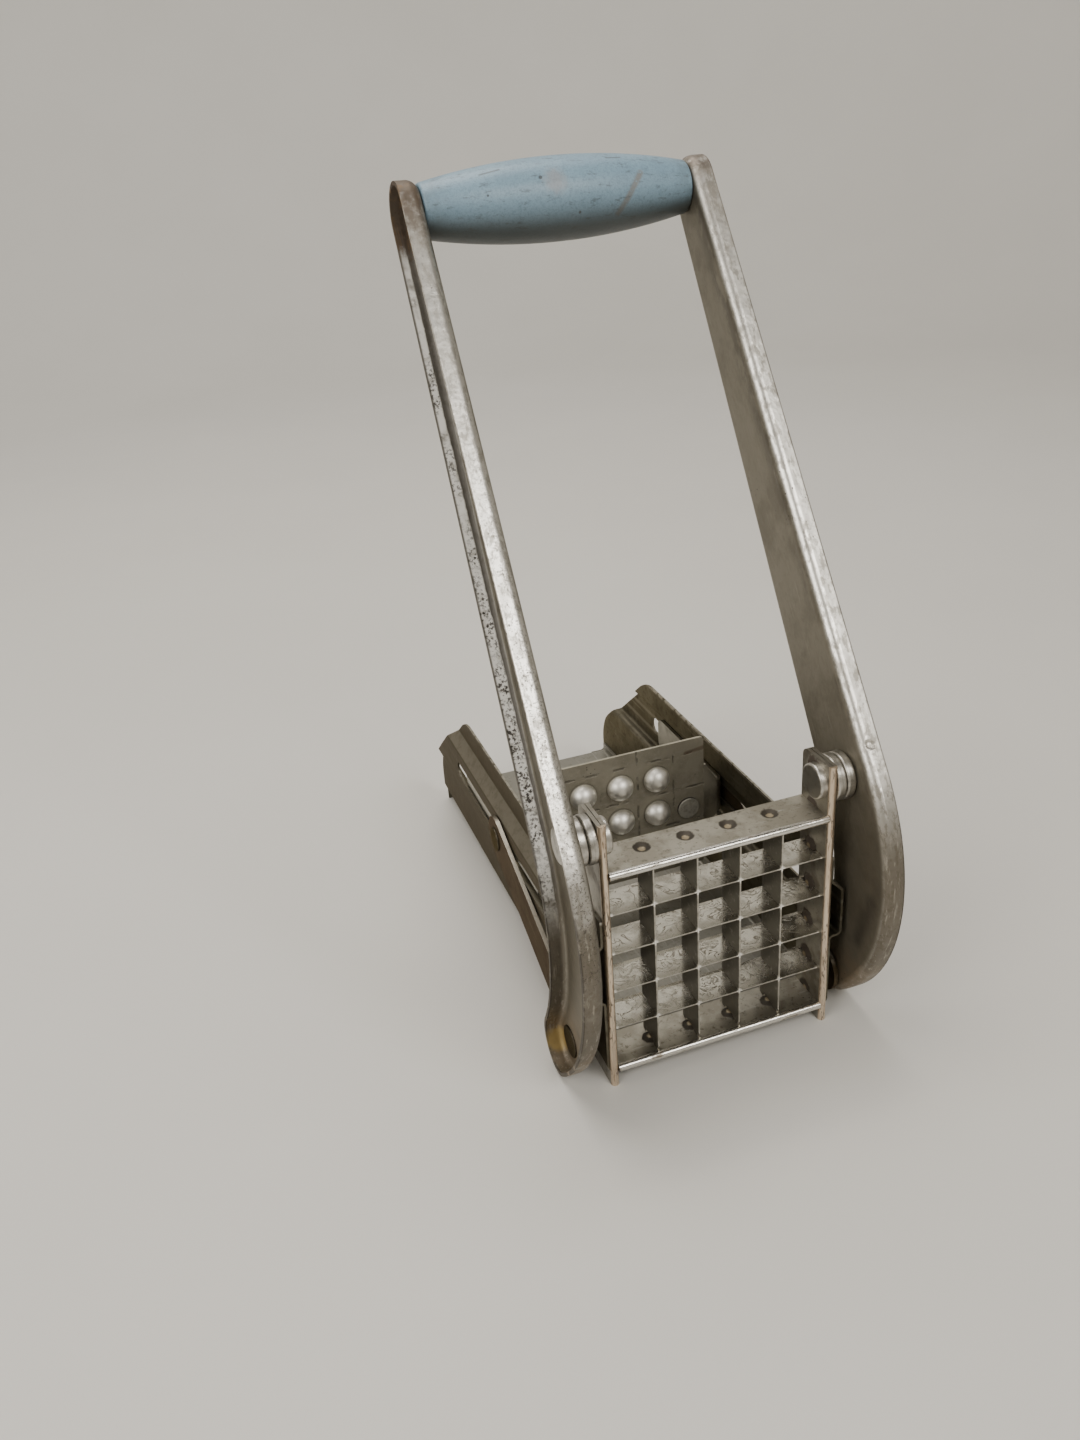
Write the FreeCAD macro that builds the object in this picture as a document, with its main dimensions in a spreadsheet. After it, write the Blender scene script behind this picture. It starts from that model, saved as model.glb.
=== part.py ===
import FreeCAD, Part
import Sketcher
import math
import os

# Lever potato chipper. Millimetres, +X to the right of the operator, +Y from the knives to the back, +Z up.
# Lengths along Y are measured from the front edges of the knives, and every piece is then shifted so that
# the origin lies under the middle of the whole object.

DOC = FreeCAD.newDocument("LeverChipper")
SHEET = DOC.addObject("Spreadsheet::Sheet", "Dimensions")
Vector = FreeCAD.Vector

CELLS = 5
BLADES = CELLS - 1
DOMES = CELLS - 2
SIDES = (("left", -1), ("right", 1))


# Sizes

class Size:
    """A number together with the sheet expression that gives it."""

    def __init__(self, value, text):
        self.value = value
        self.text = text

    @staticmethod
    def of(other):
        return other if isinstance(other, Size) else Size(float(other), repr(float(other)))

    def combine(self, other, sign, value):
        return Size(value, f"({self.text} {sign} {other.text})")

    def __add__(self, other):
        other = Size.of(other)
        return self.combine(other, "+", self.value + other.value)

    def __sub__(self, other):
        other = Size.of(other)
        return self.combine(other, "-", self.value - other.value)

    def __mul__(self, other):
        other = Size.of(other)
        return self.combine(other, "*", self.value * other.value)

    def __truediv__(self, other):
        other = Size.of(other)
        return self.combine(other, "/", self.value / other.value)

    def __neg__(self):
        return self * -1

    def __radd__(self, other):
        return Size.of(other) + self

    def __rsub__(self, other):
        return Size.of(other) - self

    def __rmul__(self, other):
        return Size.of(other) * self


def root(size):
    return Size(math.sqrt(size.value), f"sqrt({size.text})")


def sine(angle):
    return Size(math.sin(math.radians(angle.value)), f"sin({angle.text})")


def cosine(angle):
    return Size(math.cos(math.radians(angle.value)), f"cos({angle.text})")


def arc_sine(ratio):
    return Size(math.degrees(math.asin(ratio.value)), f"asin({ratio.text})")


def bearing(across, up):
    """Angle in degrees from the second direction towards the first."""
    return Size(math.degrees(math.atan2(across.value, up.value)), f"atan2({across.text}; {up.text})")


def sheet_row(name, content):
    row = sheet_row.next_row
    sheet_row.next_row += 1
    SHEET.set(f"A{row}", name)
    SHEET.set(f"B{row}", content)
    SHEET.setAlias(f"B{row}", name)
    return f"Dimensions.{name}"


sheet_row.next_row = 1


def given(name, value):
    """Enters a driving size in the sheet."""
    return Size(value, sheet_row(name, str(value)))


def derived(name, size):
    """Enters a size that follows from others in the sheet, as a formula."""
    return Size(size.value, sheet_row(name, "=" + size.text.replace("Dimensions.", "")))


# Driving dimensions: knife grid and cutter frame

grid_pitch = 14.0
grid_bottom = 6.9
blade_sheet = 0.45
blade_depth = 12.0
blade_bevel = 1.5
lap_clearance = 0.05
frame_sheet = 1.2
fold_slit = 0.2
fold_reach = 2.0
frame_overhang = 1.8
frame_side_gap = 0.2
ear_rise = 7.2
ear_round = 2.5
plate_sheet = 1.0
bead_radius = 1.25
pip_radius = 2.7
pip_depth = 0.9
pip_clearance = 0.3
top_pip_back = 8.2
bottom_pip_back = 6.5
side_pip_back = 7.5

# Driving dimensions: trough

wall_sheet = 0.8
wall_front = -0.7
wall_rear = 190.0
wall_rise = 20.7
wall_bend = 1.0
wall_brow_back = 139.0
wall_knee_back = 166.5
wall_knee_height = 40.5
wall_heel_height = 21.5
wall_round = 20.0
wall_knee_round = 45.0
channel_depth = 4.0
channel_rise = 12.0
channel_fall = 9.5
guide_fall = 0.4
slot_front = 16.0
slot_rear = 142.0
slot_clearance = 0.3
flange_width = 7.0
flange_bend = 1.7
foot_width = 6.0
floor_sheet = 0.8
floor_lip = 3.6
floor_side_gap = 0.1
floor_front_gap = 0.3
floor_rear = 188.0

# Driving dimensions: lever and its pivot

pivot_back = 4.9
pivot_rise = 10.7
pivot_radius = 3.2
pivot_head_radius = 5.6
pivot_head = 2.3
washer_radius = 7.4
washer_gap = 0.15
washer_round = 0.7
seat_clearance = 0.03
running_clearance = 0.07
arm_link_gap = 0.25
arm_lean = 1.5
arm_sheet = 1.2
arm_flange = 6.6
arm_bend = 3.2
arm_top_radius = 8.8
arm_pivot_round = 17.0
arm_boss_radius = 9.6
belly_radius = 67.0
belly_reach = 24.1
neck_radius = 60.0
grip_back = 103.1
grip_rise = 158.9
link_drop = 76.6
link_back = 5.9
grip_end_radius = 7.9
grip_belly_radius = 12.1
grip_end_round = 1.0
grip_end_gap = 0.12
tie_rod_radius = 2.5
tie_head_radius = 4.6
tie_head = 1.6
link_rivet_radius = 3.0
link_rivet_head_radius = 5.2
link_rivet_head = 0.5
link_rivet_tail = 0.2
head_round = 0.8

# Driving dimensions: pusher and links

pusher_back = 76.8
pusher_side_gap = 2.2
pusher_edge_gap = 8.6
pusher_round = 1.5
pusher_sheet = 1.0
dome_radius = 5.0
pusher_rivet_inset = 6.4
pusher_rivet_fall = 1.2
pusher_rivet_radius = 2.0
pusher_rivet_head_radius = 4.25
pusher_rivet_head = 1.0
carriage_sheet = 1.2
carriage_bend = 1.8
carriage_half_height = 14.5
carriage_shoulder_inset = 3.3
carriage_neck_inset = 2.5
wing_gap = 0.3
wing_half_height = 6.5
wing_rear = 133.0
wing_round = 3.0
pin_radius = 3.0
pin_head_radius = 4.3
pin_head = 0.6
pin_bend_gap = 0.5
link_width = 16.6
link_sheet = 1.4
link_gap = 0.5

# Every driving dimension becomes a row of the sheet

for name, value in list(globals().items()):
    if isinstance(value, float):
        globals()[name] = given(name, value)

# Sizes that follow from the driving ones

origin_shift = derived("origin_shift", (wall_rear + pivot_back - belly_reach) / 2)
grid_side = derived("grid_side", CELLS * grid_pitch)
grid_top = derived("grid_top", grid_bottom + grid_side)
grid_middle = derived("grid_middle", grid_bottom + grid_side / 2)
frame_inner = derived("frame_inner", grid_side / 2 + frame_side_gap)
frame_outer = derived("frame_outer", frame_inner + 2 * frame_sheet + fold_slit)
frame_rear = derived("frame_rear", blade_depth + frame_overhang)
pip_crown = derived("pip_crown", (pip_radius * pip_radius + pip_depth * pip_depth) / (2 * pip_depth))
guide_height = derived("guide_height", grid_middle - guide_fall)
wall_top = derived("wall_top", guide_height + wall_rise)
wall_outer = derived("wall_outer", frame_outer + wall_sheet)
channel_top = derived("channel_top", guide_height + channel_rise)
channel_shelf = derived("channel_shelf", guide_height - channel_fall)
channel_outer = derived("channel_outer", wall_outer + channel_depth)
flange_bottom = derived("flange_bottom", grid_bottom - floor_sheet - wall_sheet)
link_inner = derived("link_inner", channel_outer + link_gap)
link_outer = derived("link_outer", link_inner + link_sheet)
arm_foot_x = derived("arm_foot_x", link_outer + link_rivet_tail + arm_link_gap)
arm_pivot_x = derived("arm_pivot_x", arm_foot_x - link_drop * arm_lean / grip_rise)
arm_grip_x = derived("arm_grip_x", arm_pivot_x - arm_lean)
arm_tilt = derived("arm_tilt", bearing(arm_lean, grip_rise))
washer_sheet = derived("washer_sheet", (arm_pivot_x - frame_outer - 3 * washer_gap) / 2)
pivot_height = derived("pivot_height", grid_top + pivot_rise)
ear_top = derived("ear_top", pivot_height + ear_rise)
grip_y = derived("grip_y", pivot_back + grip_back)
grip_z = derived("grip_z", pivot_height + grip_rise)
link_y = derived("link_y", pivot_back + link_back)
link_z = derived("link_z", pivot_height - link_drop)
pusher_half_width = derived("pusher_half_width", frame_inner - pusher_side_gap)
pusher_half_height = derived("pusher_half_height", grid_side / 2 - pusher_edge_gap)
pusher_rivet_x = derived("pusher_rivet_x", pusher_half_width - pusher_rivet_inset)
pusher_rivet_height = derived("pusher_rivet_height", guide_height - pusher_rivet_fall)
wing_outer = derived("wing_outer", channel_outer - wall_sheet - wing_gap)
carriage_shoulder_x = derived("carriage_shoulder_x", frame_outer - carriage_shoulder_inset)
carriage_neck_x = derived("carriage_neck_x", wing_outer - carriage_neck_inset)
carriage_rear = derived("carriage_rear", pusher_back + pusher_sheet + carriage_sheet)
pin_back = derived("pin_back", carriage_rear + carriage_bend + pin_head_radius + pin_bend_gap)
pin_run = derived("pin_run", pin_back - link_y)
pin_rise = derived("pin_rise", guide_height - link_z)
link_length = derived("link_length", root(pin_run * pin_run + pin_rise * pin_rise))
link_angle = derived("link_angle", bearing(pin_rise, pin_run))


# Bodies, sketches and features

BODIES = []


def new_body(name, y=0.0, x=0.0, z=0.0, axis=None, angle=None):
    """A body at the given point of the assembly, turned about an axis through that point."""
    body = DOC.addObject("PartDesign::Body", name)
    body.Label = name
    base = (Size.of(x), Size.of(y) - origin_shift, Size.of(z))
    turn = FreeCAD.Rotation(Vector(*axis), angle.value) if axis else FreeCAD.Rotation()
    body.Placement = FreeCAD.Placement(Vector(*[part.value for part in base]), turn)
    for letter, part in zip("xyz", base):
        body.setExpression(f"Placement.Base.{letter}", part.text)
    if axis:
        body.setExpression("Placement.Rotation.Angle", angle.text)
    BODIES.append(body)
    return body


def origin_feature(body, role):
    return next(feature for feature in body.Origin.OriginFeatures if feature.Role == role)


def new_sketch(body, role, x=0.0, y=0.0, z=0.0):
    """A sketch on one of the body's own planes, its origin moved by lengths along its own axes."""
    sketch = body.newObject("Sketcher::SketchObject", body.Label + "_sketch")
    sketch.AttachmentSupport = [(origin_feature(body, role), "")]
    sketch.MapMode = "FlatFace"
    offset = [Size.of(part) for part in (x, y, z)]
    sketch.AttachmentOffset = FreeCAD.Placement(Vector(*[part.value for part in offset]), FreeCAD.Rotation())
    for letter, part in zip("xyz", offset):
        if "Dimensions" in part.text:
            sketch.setExpression(f"AttachmentOffset.Base.{letter}", part.text)
    return sketch


def bind(sketch, constraint, size):
    index = sketch.addConstraint(constraint)
    if "Dimensions" in size.text:
        sketch.setExpression(f"Constraints[{index}]", size.text)


def draw(sketch, path):
    """Draws a closed loop. Each step of the path is a point and the edge that leaves it: None for a straight
    edge, or the radius and turn (+1 left, -1 right) of an arc."""
    edges = []
    for (here, arc), (there, _) in zip(path, path[1:] + path[:1]):
        start = Vector(here[0].value, here[1].value, 0)
        end = Vector(there[0].value, there[1].value, 0)
        if arc is None:
            edges.append((sketch.addGeometry(Part.LineSegment(start, end)), 1, 2, here, None))
            continue
        radius, turn = arc
        chord = end - start
        outward = Vector(chord.y, -chord.x, 0).normalize() * turn
        sagitta = radius.value - math.sqrt(radius.value ** 2 - chord.Length ** 2 / 4)
        middle = (start + end) / 2 + outward * sagitta
        ends = (start, end) if turn > 0 else (end, start)
        first, last = (1, 2) if turn > 0 else (2, 1)
        edges.append((sketch.addGeometry(Part.Arc(ends[0], middle, ends[1])), first, last, here, radius))
    for edge, following in zip(edges, edges[1:] + edges[:1]):
        sketch.addConstraint(Sketcher.Constraint("Coincident", edge[0], edge[2], following[0], following[1]))
    for index, first, _, here, radius in edges:
        bind(sketch, Sketcher.Constraint("DistanceX", -1, 1, index, first, here[0].value), here[0])
        bind(sketch, Sketcher.Constraint("DistanceY", -1, 1, index, first, here[1].value), here[1])
        if radius is not None:
            bind(sketch, Sketcher.Constraint("Radius", index, radius.value), radius)


def outline(sketch, corners, side=1):
    """Draws a closed loop through corners (x, y) or (x, y, radius), rounding those that have a radius."""
    points = [(Size.of(corner[0]) * side, Size.of(corner[1])) for corner in corners]
    flat = [Vector(point[0].value, point[1].value, 0) for point in points]
    path = []
    for index, corner in enumerate(corners):
        if len(corner) < 3:
            path.append((points[index], None))
            continue
        back = (flat[index - 1] - flat[index]).normalize()
        ahead = (flat[(index + 1) % len(flat)] - flat[index]).normalize()
        setback = corner[2] / math.tan(back.getAngle(ahead) / 2)
        turn = 1 if back.cross(ahead).z < 0 else -1
        entry = (points[index][0] + setback * back.x, points[index][1] + setback * back.y)
        leave = (points[index][0] + setback * ahead.x, points[index][1] + setback * ahead.y)
        path.append((entry, (corner[2], turn)))
        path.append((leave, None))
    kept = []
    for step, following in zip(path, path[1:] + path[:1]):
        gap = math.hypot(step[0][0].value - following[0][0].value, step[0][1].value - following[0][1].value)
        if step[1] is not None or gap > 1e-6:
            kept.append(step)
    draw(sketch, kept)


def box(sketch, low_x, high_x, low_y, high_y, side=1):
    outline(sketch, [(low_x, low_y), (high_x, low_y), (high_x, high_y), (low_x, high_y)], side)


def disc(sketch, x, y, radius):
    index = sketch.addGeometry(Part.Circle(Vector(x.value, y.value, 0), Vector(0, 0, 1), radius.value))
    bind(sketch, Sketcher.Constraint("DistanceX", -1, 1, index, 3, x.value), x)
    bind(sketch, Sketcher.Constraint("DistanceY", -1, 1, index, 3, y.value), y)
    bind(sketch, Sketcher.Constraint("Radius", index, radius.value), radius)


def pad(body, sketch, length, reverse=False, both_ways=False):
    feature = body.newObject("PartDesign::Pad", body.Label + "_pad")
    feature.Profile = sketch
    feature.Reversed = reverse
    feature.SideType = "Symmetric" if both_ways else "One side"
    feature.Length = length.value
    feature.setExpression("Length", length.text)
    return feature


def cut_through(body, sketch):
    feature = body.newObject("PartDesign::Pocket", body.Label + "_cut")
    feature.Profile = sketch
    feature.SideType = "Symmetric"
    feature.Type = "ThroughAll"
    return feature


def trim_to(body, role, corners, reach, side=1):
    """Cuts away what lies outside a loop of corners, out to a large frame."""
    sketch = new_sketch(body, role)
    box(sketch, -reach, reach, -reach, reach)
    outline(sketch, corners, side)
    return cut_through(body, sketch)


def spin(body, sketch, kind, axis):
    feature = body.newObject(f"PartDesign::{kind}", f"{body.Label}_{kind.lower()}")
    feature.Profile = sketch
    feature.ReferenceAxis = (sketch, [axis])
    feature.Angle = 360.0
    return feature


def repeat(body, originals, role, step, count):
    feature = body.newObject("PartDesign::LinearPattern", body.Label + "_row")
    feature.Originals = originals
    feature.Direction = (origin_feature(body, role), [""])
    feature.Occurrences = count
    feature.Length = step.value * (count - 1)
    feature.setExpression("Length", f"{step.text} * {count - 1}")
    body.Tip = feature
    return feature


def turned_x(body, profile, y=0.0, z=0.0, side=1):
    """Revolves a profile of (x, radius) corners about the line along X through (y, z)."""
    sketch = new_sketch(body, "XY_Plane", y=y, z=z)
    outline(sketch, profile, side)
    return spin(body, sketch, "Revolution", "H_Axis")


def grid_line(index):
    """Distance of knife strip number index from the middle of the grid."""
    return grid_pitch * (index - (BLADES - 1) / 2)


# Cutter frame

def side_plate(name, side):
    """Sheet folded double round its front edge, with pips that hold the ends of the level knives."""
    body = new_body(name)
    fold = frame_sheet + fold_slit / 2
    sketch = new_sketch(body, "XY_Plane")
    outline(sketch, [
        (frame_inner, frame_rear),
        (frame_inner, -fold_reach, fold),
        (frame_outer, -fold_reach, fold),
        (frame_outer, frame_rear),
        (frame_outer - frame_sheet, frame_rear),
        (frame_outer - frame_sheet, frame_sheet - fold_reach, fold_slit / 2),
        (frame_inner + frame_sheet, frame_sheet - fold_reach, fold_slit / 2),
        (frame_inner + frame_sheet, frame_rear),
    ], side)
    pad(body, sketch, ear_top)
    trim_to(body, "YZ_Plane", [
        (-fold_reach - 1, -1),
        (frame_rear + 1, -1),
        (frame_rear + 1, ear_top - ear_round),
        (frame_rear, ear_top - ear_round),
        (frame_rear, ear_top, ear_round),
        (-fold_reach - 1, ear_top),
    ], ear_top * 2)
    hole = new_sketch(body, "YZ_Plane")
    disc(hole, pivot_back, pivot_height, pivot_radius + seat_clearance)
    cut_through(body, hole)
    pip = new_sketch(body, "XY_Plane", y=side_pip_back, z=grid_middle + grid_line(0))
    rim = (frame_inner * side, pip_radius)
    peak = ((frame_inner - pip_depth) * side, Size.of(0))
    base = ((frame_inner + frame_sheet / 2) * side, Size.of(0))
    seat = ((frame_inner + frame_sheet / 2) * side, pip_radius)
    draw(pip, [(rim, (pip_crown, side)), (peak, None), (base, None), (seat, None)])
    bump = spin(body, pip, "Revolution", "H_Axis")
    repeat(body, [bump], "Z_Axis", grid_pitch, BLADES)


def cross_plate(name, face, outward, pip_back):
    """Level plate with a rolled front bead. Its inner face is at the given height, outward is +1 upwards."""
    body = new_body(name)
    outer = face + plate_sheet * outward
    middle = face + plate_sheet * (outward / 2)
    bead_back = -bead_radius - lap_clearance
    reach = root(bead_radius * bead_radius - plate_sheet * plate_sheet / 4)
    sketch = new_sketch(body, "YZ_Plane")
    nose = (bead_back - bead_radius, middle)
    draw(sketch, [
        ((bead_back + reach, outer), (bead_radius, outward)),
        (nose, (bead_radius, outward)),
        ((bead_back + reach, face), None),
        ((frame_rear, face), None),
        ((frame_rear, outer), None),
    ])
    pad(body, sketch, 2 * frame_inner, both_ways=True)
    features = []
    for kind, level, root_level in (("Revolution", face, middle), ("Groove", outer, outer + plate_sheet * outward)):
        pip = new_sketch(body, "YZ_Plane", x=pip_back, z=grid_line(0))
        draw(pip, [
            ((Size.of(0), level - pip_depth * outward), (pip_crown, outward)),
            ((pip_radius, level), None),
            ((pip_radius, root_level), None),
            ((Size.of(0), root_level), None),
        ])
        features.append(spin(body, pip, kind, "V_Axis"))
    repeat(body, features, "X_Axis", grid_pitch, BLADES)


def blade_section(position):
    half = blade_sheet / 2
    return [
        (position - half, Size.of(0)),
        (position + half, Size.of(0)),
        (position + half, blade_depth - blade_bevel),
        (position, blade_depth),
        (position - half, blade_depth - blade_bevel),
    ]


def upright_blade(name, index):
    """Knife strip between bottom and top plate, slotted from its sharp edge to the middle."""
    body = new_body(name)
    sketch = new_sketch(body, "XY_Plane", z=grid_bottom)
    outline(sketch, blade_section(grid_line(index)))
    pad(body, sketch, grid_side)
    slots = new_sketch(body, "YZ_Plane")
    half_slot = blade_sheet / 2 + lap_clearance
    for other in range(BLADES):
        level = grid_middle + grid_line(other)
        box(slots, blade_depth / 2 - lap_clearance, blade_depth + 1, level - half_slot, level + half_slot)
    half_notch = pip_radius + pip_clearance
    depth = pip_depth + pip_clearance
    box(slots, bottom_pip_back - half_notch, bottom_pip_back + half_notch, grid_bottom - 1, grid_bottom + depth)
    box(slots, top_pip_back - half_notch, top_pip_back + half_notch, grid_top - depth, grid_top + 1)
    cut_through(body, slots)


def level_blade(name, index):
    """Knife strip between the side plates, slotted from its blunt edge to the middle."""
    body = new_body(name)
    level = grid_middle + grid_line(index)
    sketch = new_sketch(body, "YZ_Plane")
    outline(sketch, [(y, z) for z, y in blade_section(level)])
    pad(body, sketch, 2 * frame_inner, both_ways=True)
    slots = new_sketch(body, "XY_Plane")
    half_slot = blade_sheet / 2 + lap_clearance
    for other in range(BLADES):
        across = grid_line(other)
        box(slots, across - half_slot, across + half_slot, Size.of(-1), blade_depth / 2 + lap_clearance)
    half_notch = pip_radius + pip_clearance
    depth = pip_depth + pip_clearance
    for _, side in SIDES:
        box(slots, frame_inner - depth, frame_inner + 1, side_pip_back - half_notch,
            side_pip_back + half_notch, side)
    cut_through(body, slots)


# Trough

def side_wall(name, side):
    """One sheet: upper wall, pressed-out channel with a sloping roof and a level shelf, lower wall, and a
    flange turned in under the floor."""
    body = new_body(name)
    inner = wall_outer - wall_sheet
    flange_edge = wall_outer - flange_width
    shift = wall_sheet * math.tan(math.pi / 8)
    outside = wall_bend + wall_sheet
    sketch = new_sketch(body, "XZ_Plane", z=-wall_front)
    outline(sketch, [
        (wall_outer, wall_top + 1),
        (wall_outer, channel_top, wall_bend),
        (channel_outer, channel_top - channel_depth, outside),
        (channel_outer, channel_shelf, outside),
        (wall_outer, channel_shelf, wall_bend),
        (wall_outer, flange_bottom, flange_bend + wall_sheet),
        (flange_edge, flange_bottom),
        (flange_edge, flange_bottom + wall_sheet),
        (inner, flange_bottom + wall_sheet, flange_bend),
        (inner, channel_shelf + wall_sheet, outside),
        (channel_outer - wall_sheet, channel_shelf + wall_sheet, wall_bend),
        (channel_outer - wall_sheet, channel_top - channel_depth - shift, wall_bend),
        (inner, channel_top - shift, outside),
        (inner, wall_top + 1),
    ], side)
    pad(body, sketch, wall_rear + 1 - wall_front, reverse=True)
    trim_to(body, "YZ_Plane", [
        (wall_front - 2, -2),
        (wall_rear, -2),
        (wall_rear, wall_heel_height, wall_round),
        (wall_knee_back, wall_knee_height, wall_knee_round),
        (wall_brow_back, wall_top, wall_round),
        (wall_front - 2, wall_top),
    ], wall_rear * 2)
    relief = new_sketch(body, "XY_Plane")
    box(relief, flange_edge - 1, frame_outer, wall_front - 1, frame_rear + floor_front_gap, side)
    cut_through(body, relief)
    slot = new_sketch(body, "YZ_Plane")
    half = pin_radius + slot_clearance
    outline(slot, [
        (slot_front, guide_height - half, half),
        (slot_rear, guide_height - half, half),
        (slot_rear, guide_height + half, half),
        (slot_front, guide_height + half, half),
    ])
    cut_through(body, slot)
    foot = new_sketch(body, "XZ_Plane", z=wall_sheet - wall_rear)
    box(foot, flange_edge, flange_edge + foot_width, Size.of(0), flange_bottom + wall_sheet / 2, side)
    pad(body, foot, wall_sheet, reverse=True)


def floor_plate(name):
    """Trough floor on the wall flanges, its long edges turned up against the walls."""
    body = new_body(name)
    edge = frame_outer - floor_side_gap
    bottom = grid_bottom - floor_sheet
    top = grid_bottom + floor_lip
    bend = flange_bend + floor_side_gap
    sketch = new_sketch(body, "XZ_Plane", z=-frame_rear - floor_front_gap)
    outline(sketch, [
        (-edge, top),
        (-edge, bottom, bend),
        (edge, bottom, bend),
        (edge, top),
        (edge - floor_sheet, top),
        (edge - floor_sheet, grid_bottom, bend - floor_sheet),
        (floor_sheet - edge, grid_bottom, bend - floor_sheet),
        (floor_sheet - edge, top),
    ])
    pad(body, sketch, floor_rear - frame_rear - floor_front_gap, reverse=True)


# Lever pivot

def pivot_rivet(name, side):
    """Rivet through the ear, the two washers and the arm."""
    body = new_body(name)
    tail = arm_pivot_x + arm_sheet + washer_gap
    turned_x(body, [
        (frame_inner - pivot_head, Size.of(0)),
        (frame_inner - pivot_head, pivot_head_radius, head_round),
        (frame_inner, pivot_head_radius),
        (frame_inner, pivot_radius),
        (tail, pivot_radius),
        (tail, pivot_head_radius),
        (tail + pivot_head, pivot_head_radius, head_round),
        (tail + pivot_head, Size.of(0)),
    ], pivot_back, pivot_height, side)


def pivot_washer(name, side, index):
    """Thick turned washer that keeps the arm clear of the trough."""
    body = new_body(name)
    start = frame_outer + washer_gap * index + washer_sheet * index
    bore = pivot_radius + seat_clearance
    turned_x(body, [
        (start, bore),
        (start, washer_radius, washer_round),
        (start + washer_sheet, washer_radius, washer_round),
        (start + washer_sheet, bore),
    ], pivot_back, pivot_height, side)


# Lever

def arm_frame(name, side):
    """A body in the frame of one arm: origin on the pivot at the web's inner face, leaning in to the grip."""
    return new_body(name, pivot_back, arm_pivot_x * side, pivot_height, (0, -side, 0), arm_tilt)


def arm_path():
    """Outline of an arm round the pivot: belly in front, grip end on top, boss below, and a straight rear edge
    that touches a circle round the pivot and runs into a hollow neck above the boss."""
    belly_y = belly_radius - belly_reach
    inset = belly_radius - arm_boss_radius
    boss_y = derived_once("boss_y", link_back - belly_y)
    belly_z = derived_once("belly_z", root(inset * inset - boss_y * boss_y) - link_drop)
    run_y = grip_back - belly_y
    run_z = grip_rise - belly_z
    run = root(run_y * run_y + run_z * run_z)
    front = derived_once("arm_front_angle", bearing(run_y, run_z) + arc_sine((belly_radius - arm_top_radius) / run))
    span = derived_once("arm_span", root(grip_back * grip_back + grip_rise * grip_rise))
    lean = bearing(grip_back, grip_rise)
    rear = derived_once("arm_rear_angle", lean - arc_sine((arm_pivot_round - arm_top_radius) / span))
    front_y, front_z = -cosine(front), sine(front)
    rear_y, rear_z = cosine(rear), -sine(rear)
    to_line = neck_radius + arm_pivot_round
    to_boss = neck_radius + arm_boss_radius
    across = derived_once("neck_across", to_line - link_back * rear_y + link_drop * rear_z)
    boss_along = -link_back * rear_z - link_drop * rear_y
    along = derived_once("neck_along", boss_along + root(to_boss * to_boss - across * across))
    neck_y = derived_once("neck_y", to_line * rear_y - along * rear_z)
    neck_z = derived_once("neck_z", to_line * rear_z + along * rear_y)
    top = arm_top_radius
    boss = arm_boss_radius
    return [
        ((grip_back + top * front_y, grip_rise + top * front_z), (top, -1)),
        ((grip_back + top * grip_back / span, grip_rise + top * grip_rise / span), (top, -1)),
        ((grip_back + top * rear_y, grip_rise + top * rear_z), None),
        ((neck_y - neck_radius * rear_y, neck_z - neck_radius * rear_z), (neck_radius, 1)),
        ((link_back + (neck_y - link_back) * boss / to_boss,
          (neck_z + link_drop) * boss / to_boss - link_drop), (boss, -1)),
        ((link_back, -link_drop - boss), (boss, -1)),
        ((belly_y + boss_y * belly_radius / inset, belly_z - (belly_z + link_drop) * belly_radius / inset),
         (belly_radius, -1)),
        ((belly_y + belly_radius * front_y, belly_z + belly_radius * front_z), None),
    ]


ONCE = {}


def derived_once(name, size):
    if name not in ONCE:
        ONCE[name] = derived(name, size)
    return ONCE[name]


def lever_arm(name, side):
    """Pressed tray, open outwards: flat web towards the trough, flange of even height all round."""
    body = arm_frame(name, side)
    sketch = new_sketch(body, "YZ_Plane")
    draw(sketch, arm_path())
    blank = pad(body, sketch, arm_flange, reverse=side < 0)
    DOC.recompute()
    rim = [f"Edge{index}" for index, edge in enumerate(blank.Shape.Edges, 1)
           if max(abs(vertex.X) for vertex in edge.Vertexes) < 1e-6]
    pressed = body.newObject("PartDesign::Fillet", name + "_bend")
    pressed.Base = (blank, rim)
    pressed.Radius = arm_bend.value
    pressed.setExpression("Radius", arm_bend.text)
    DOC.recompute()
    mouth = [f"Face{index}" for index, face in enumerate(pressed.Shape.Faces, 1)
             if abs(face.CenterOfMass.x - arm_flange.value * side) < 1e-6]
    tray = body.newObject("PartDesign::Thickness", name + "_tray")
    tray.Base = (pressed, mouth)
    tray.Value = arm_sheet.value
    tray.setExpression("Value", arm_sheet.text)
    tray.Reversed = True
    tray.Join = "Arc"
    holes = new_sketch(body, "YZ_Plane")
    disc(holes, Size.of(0), Size.of(0), pivot_radius + running_clearance)
    disc(holes, link_back, -link_drop, link_rivet_radius + seat_clearance)
    disc(holes, grip_back, grip_rise, tie_rod_radius + seat_clearance)
    cut_through(body, holes)


def link_rivet(name, side):
    """Rivet in the lower boss of an arm: round head in the tray, tail hammered nearly flush inside."""
    body = arm_frame(name, side)
    turned_x(body, [
        (-link_rivet_tail, Size.of(0)),
        (-link_rivet_tail, link_rivet_head_radius),
        (Size.of(0), link_rivet_head_radius),
        (Size.of(0), link_rivet_radius),
        (arm_sheet, link_rivet_radius),
        (arm_sheet, link_rivet_head_radius),
        (arm_sheet + link_rivet_head, link_rivet_head_radius, link_rivet_head / 2),
        (arm_sheet + link_rivet_head, Size.of(0)),
    ], link_back, -link_drop, side)


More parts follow.
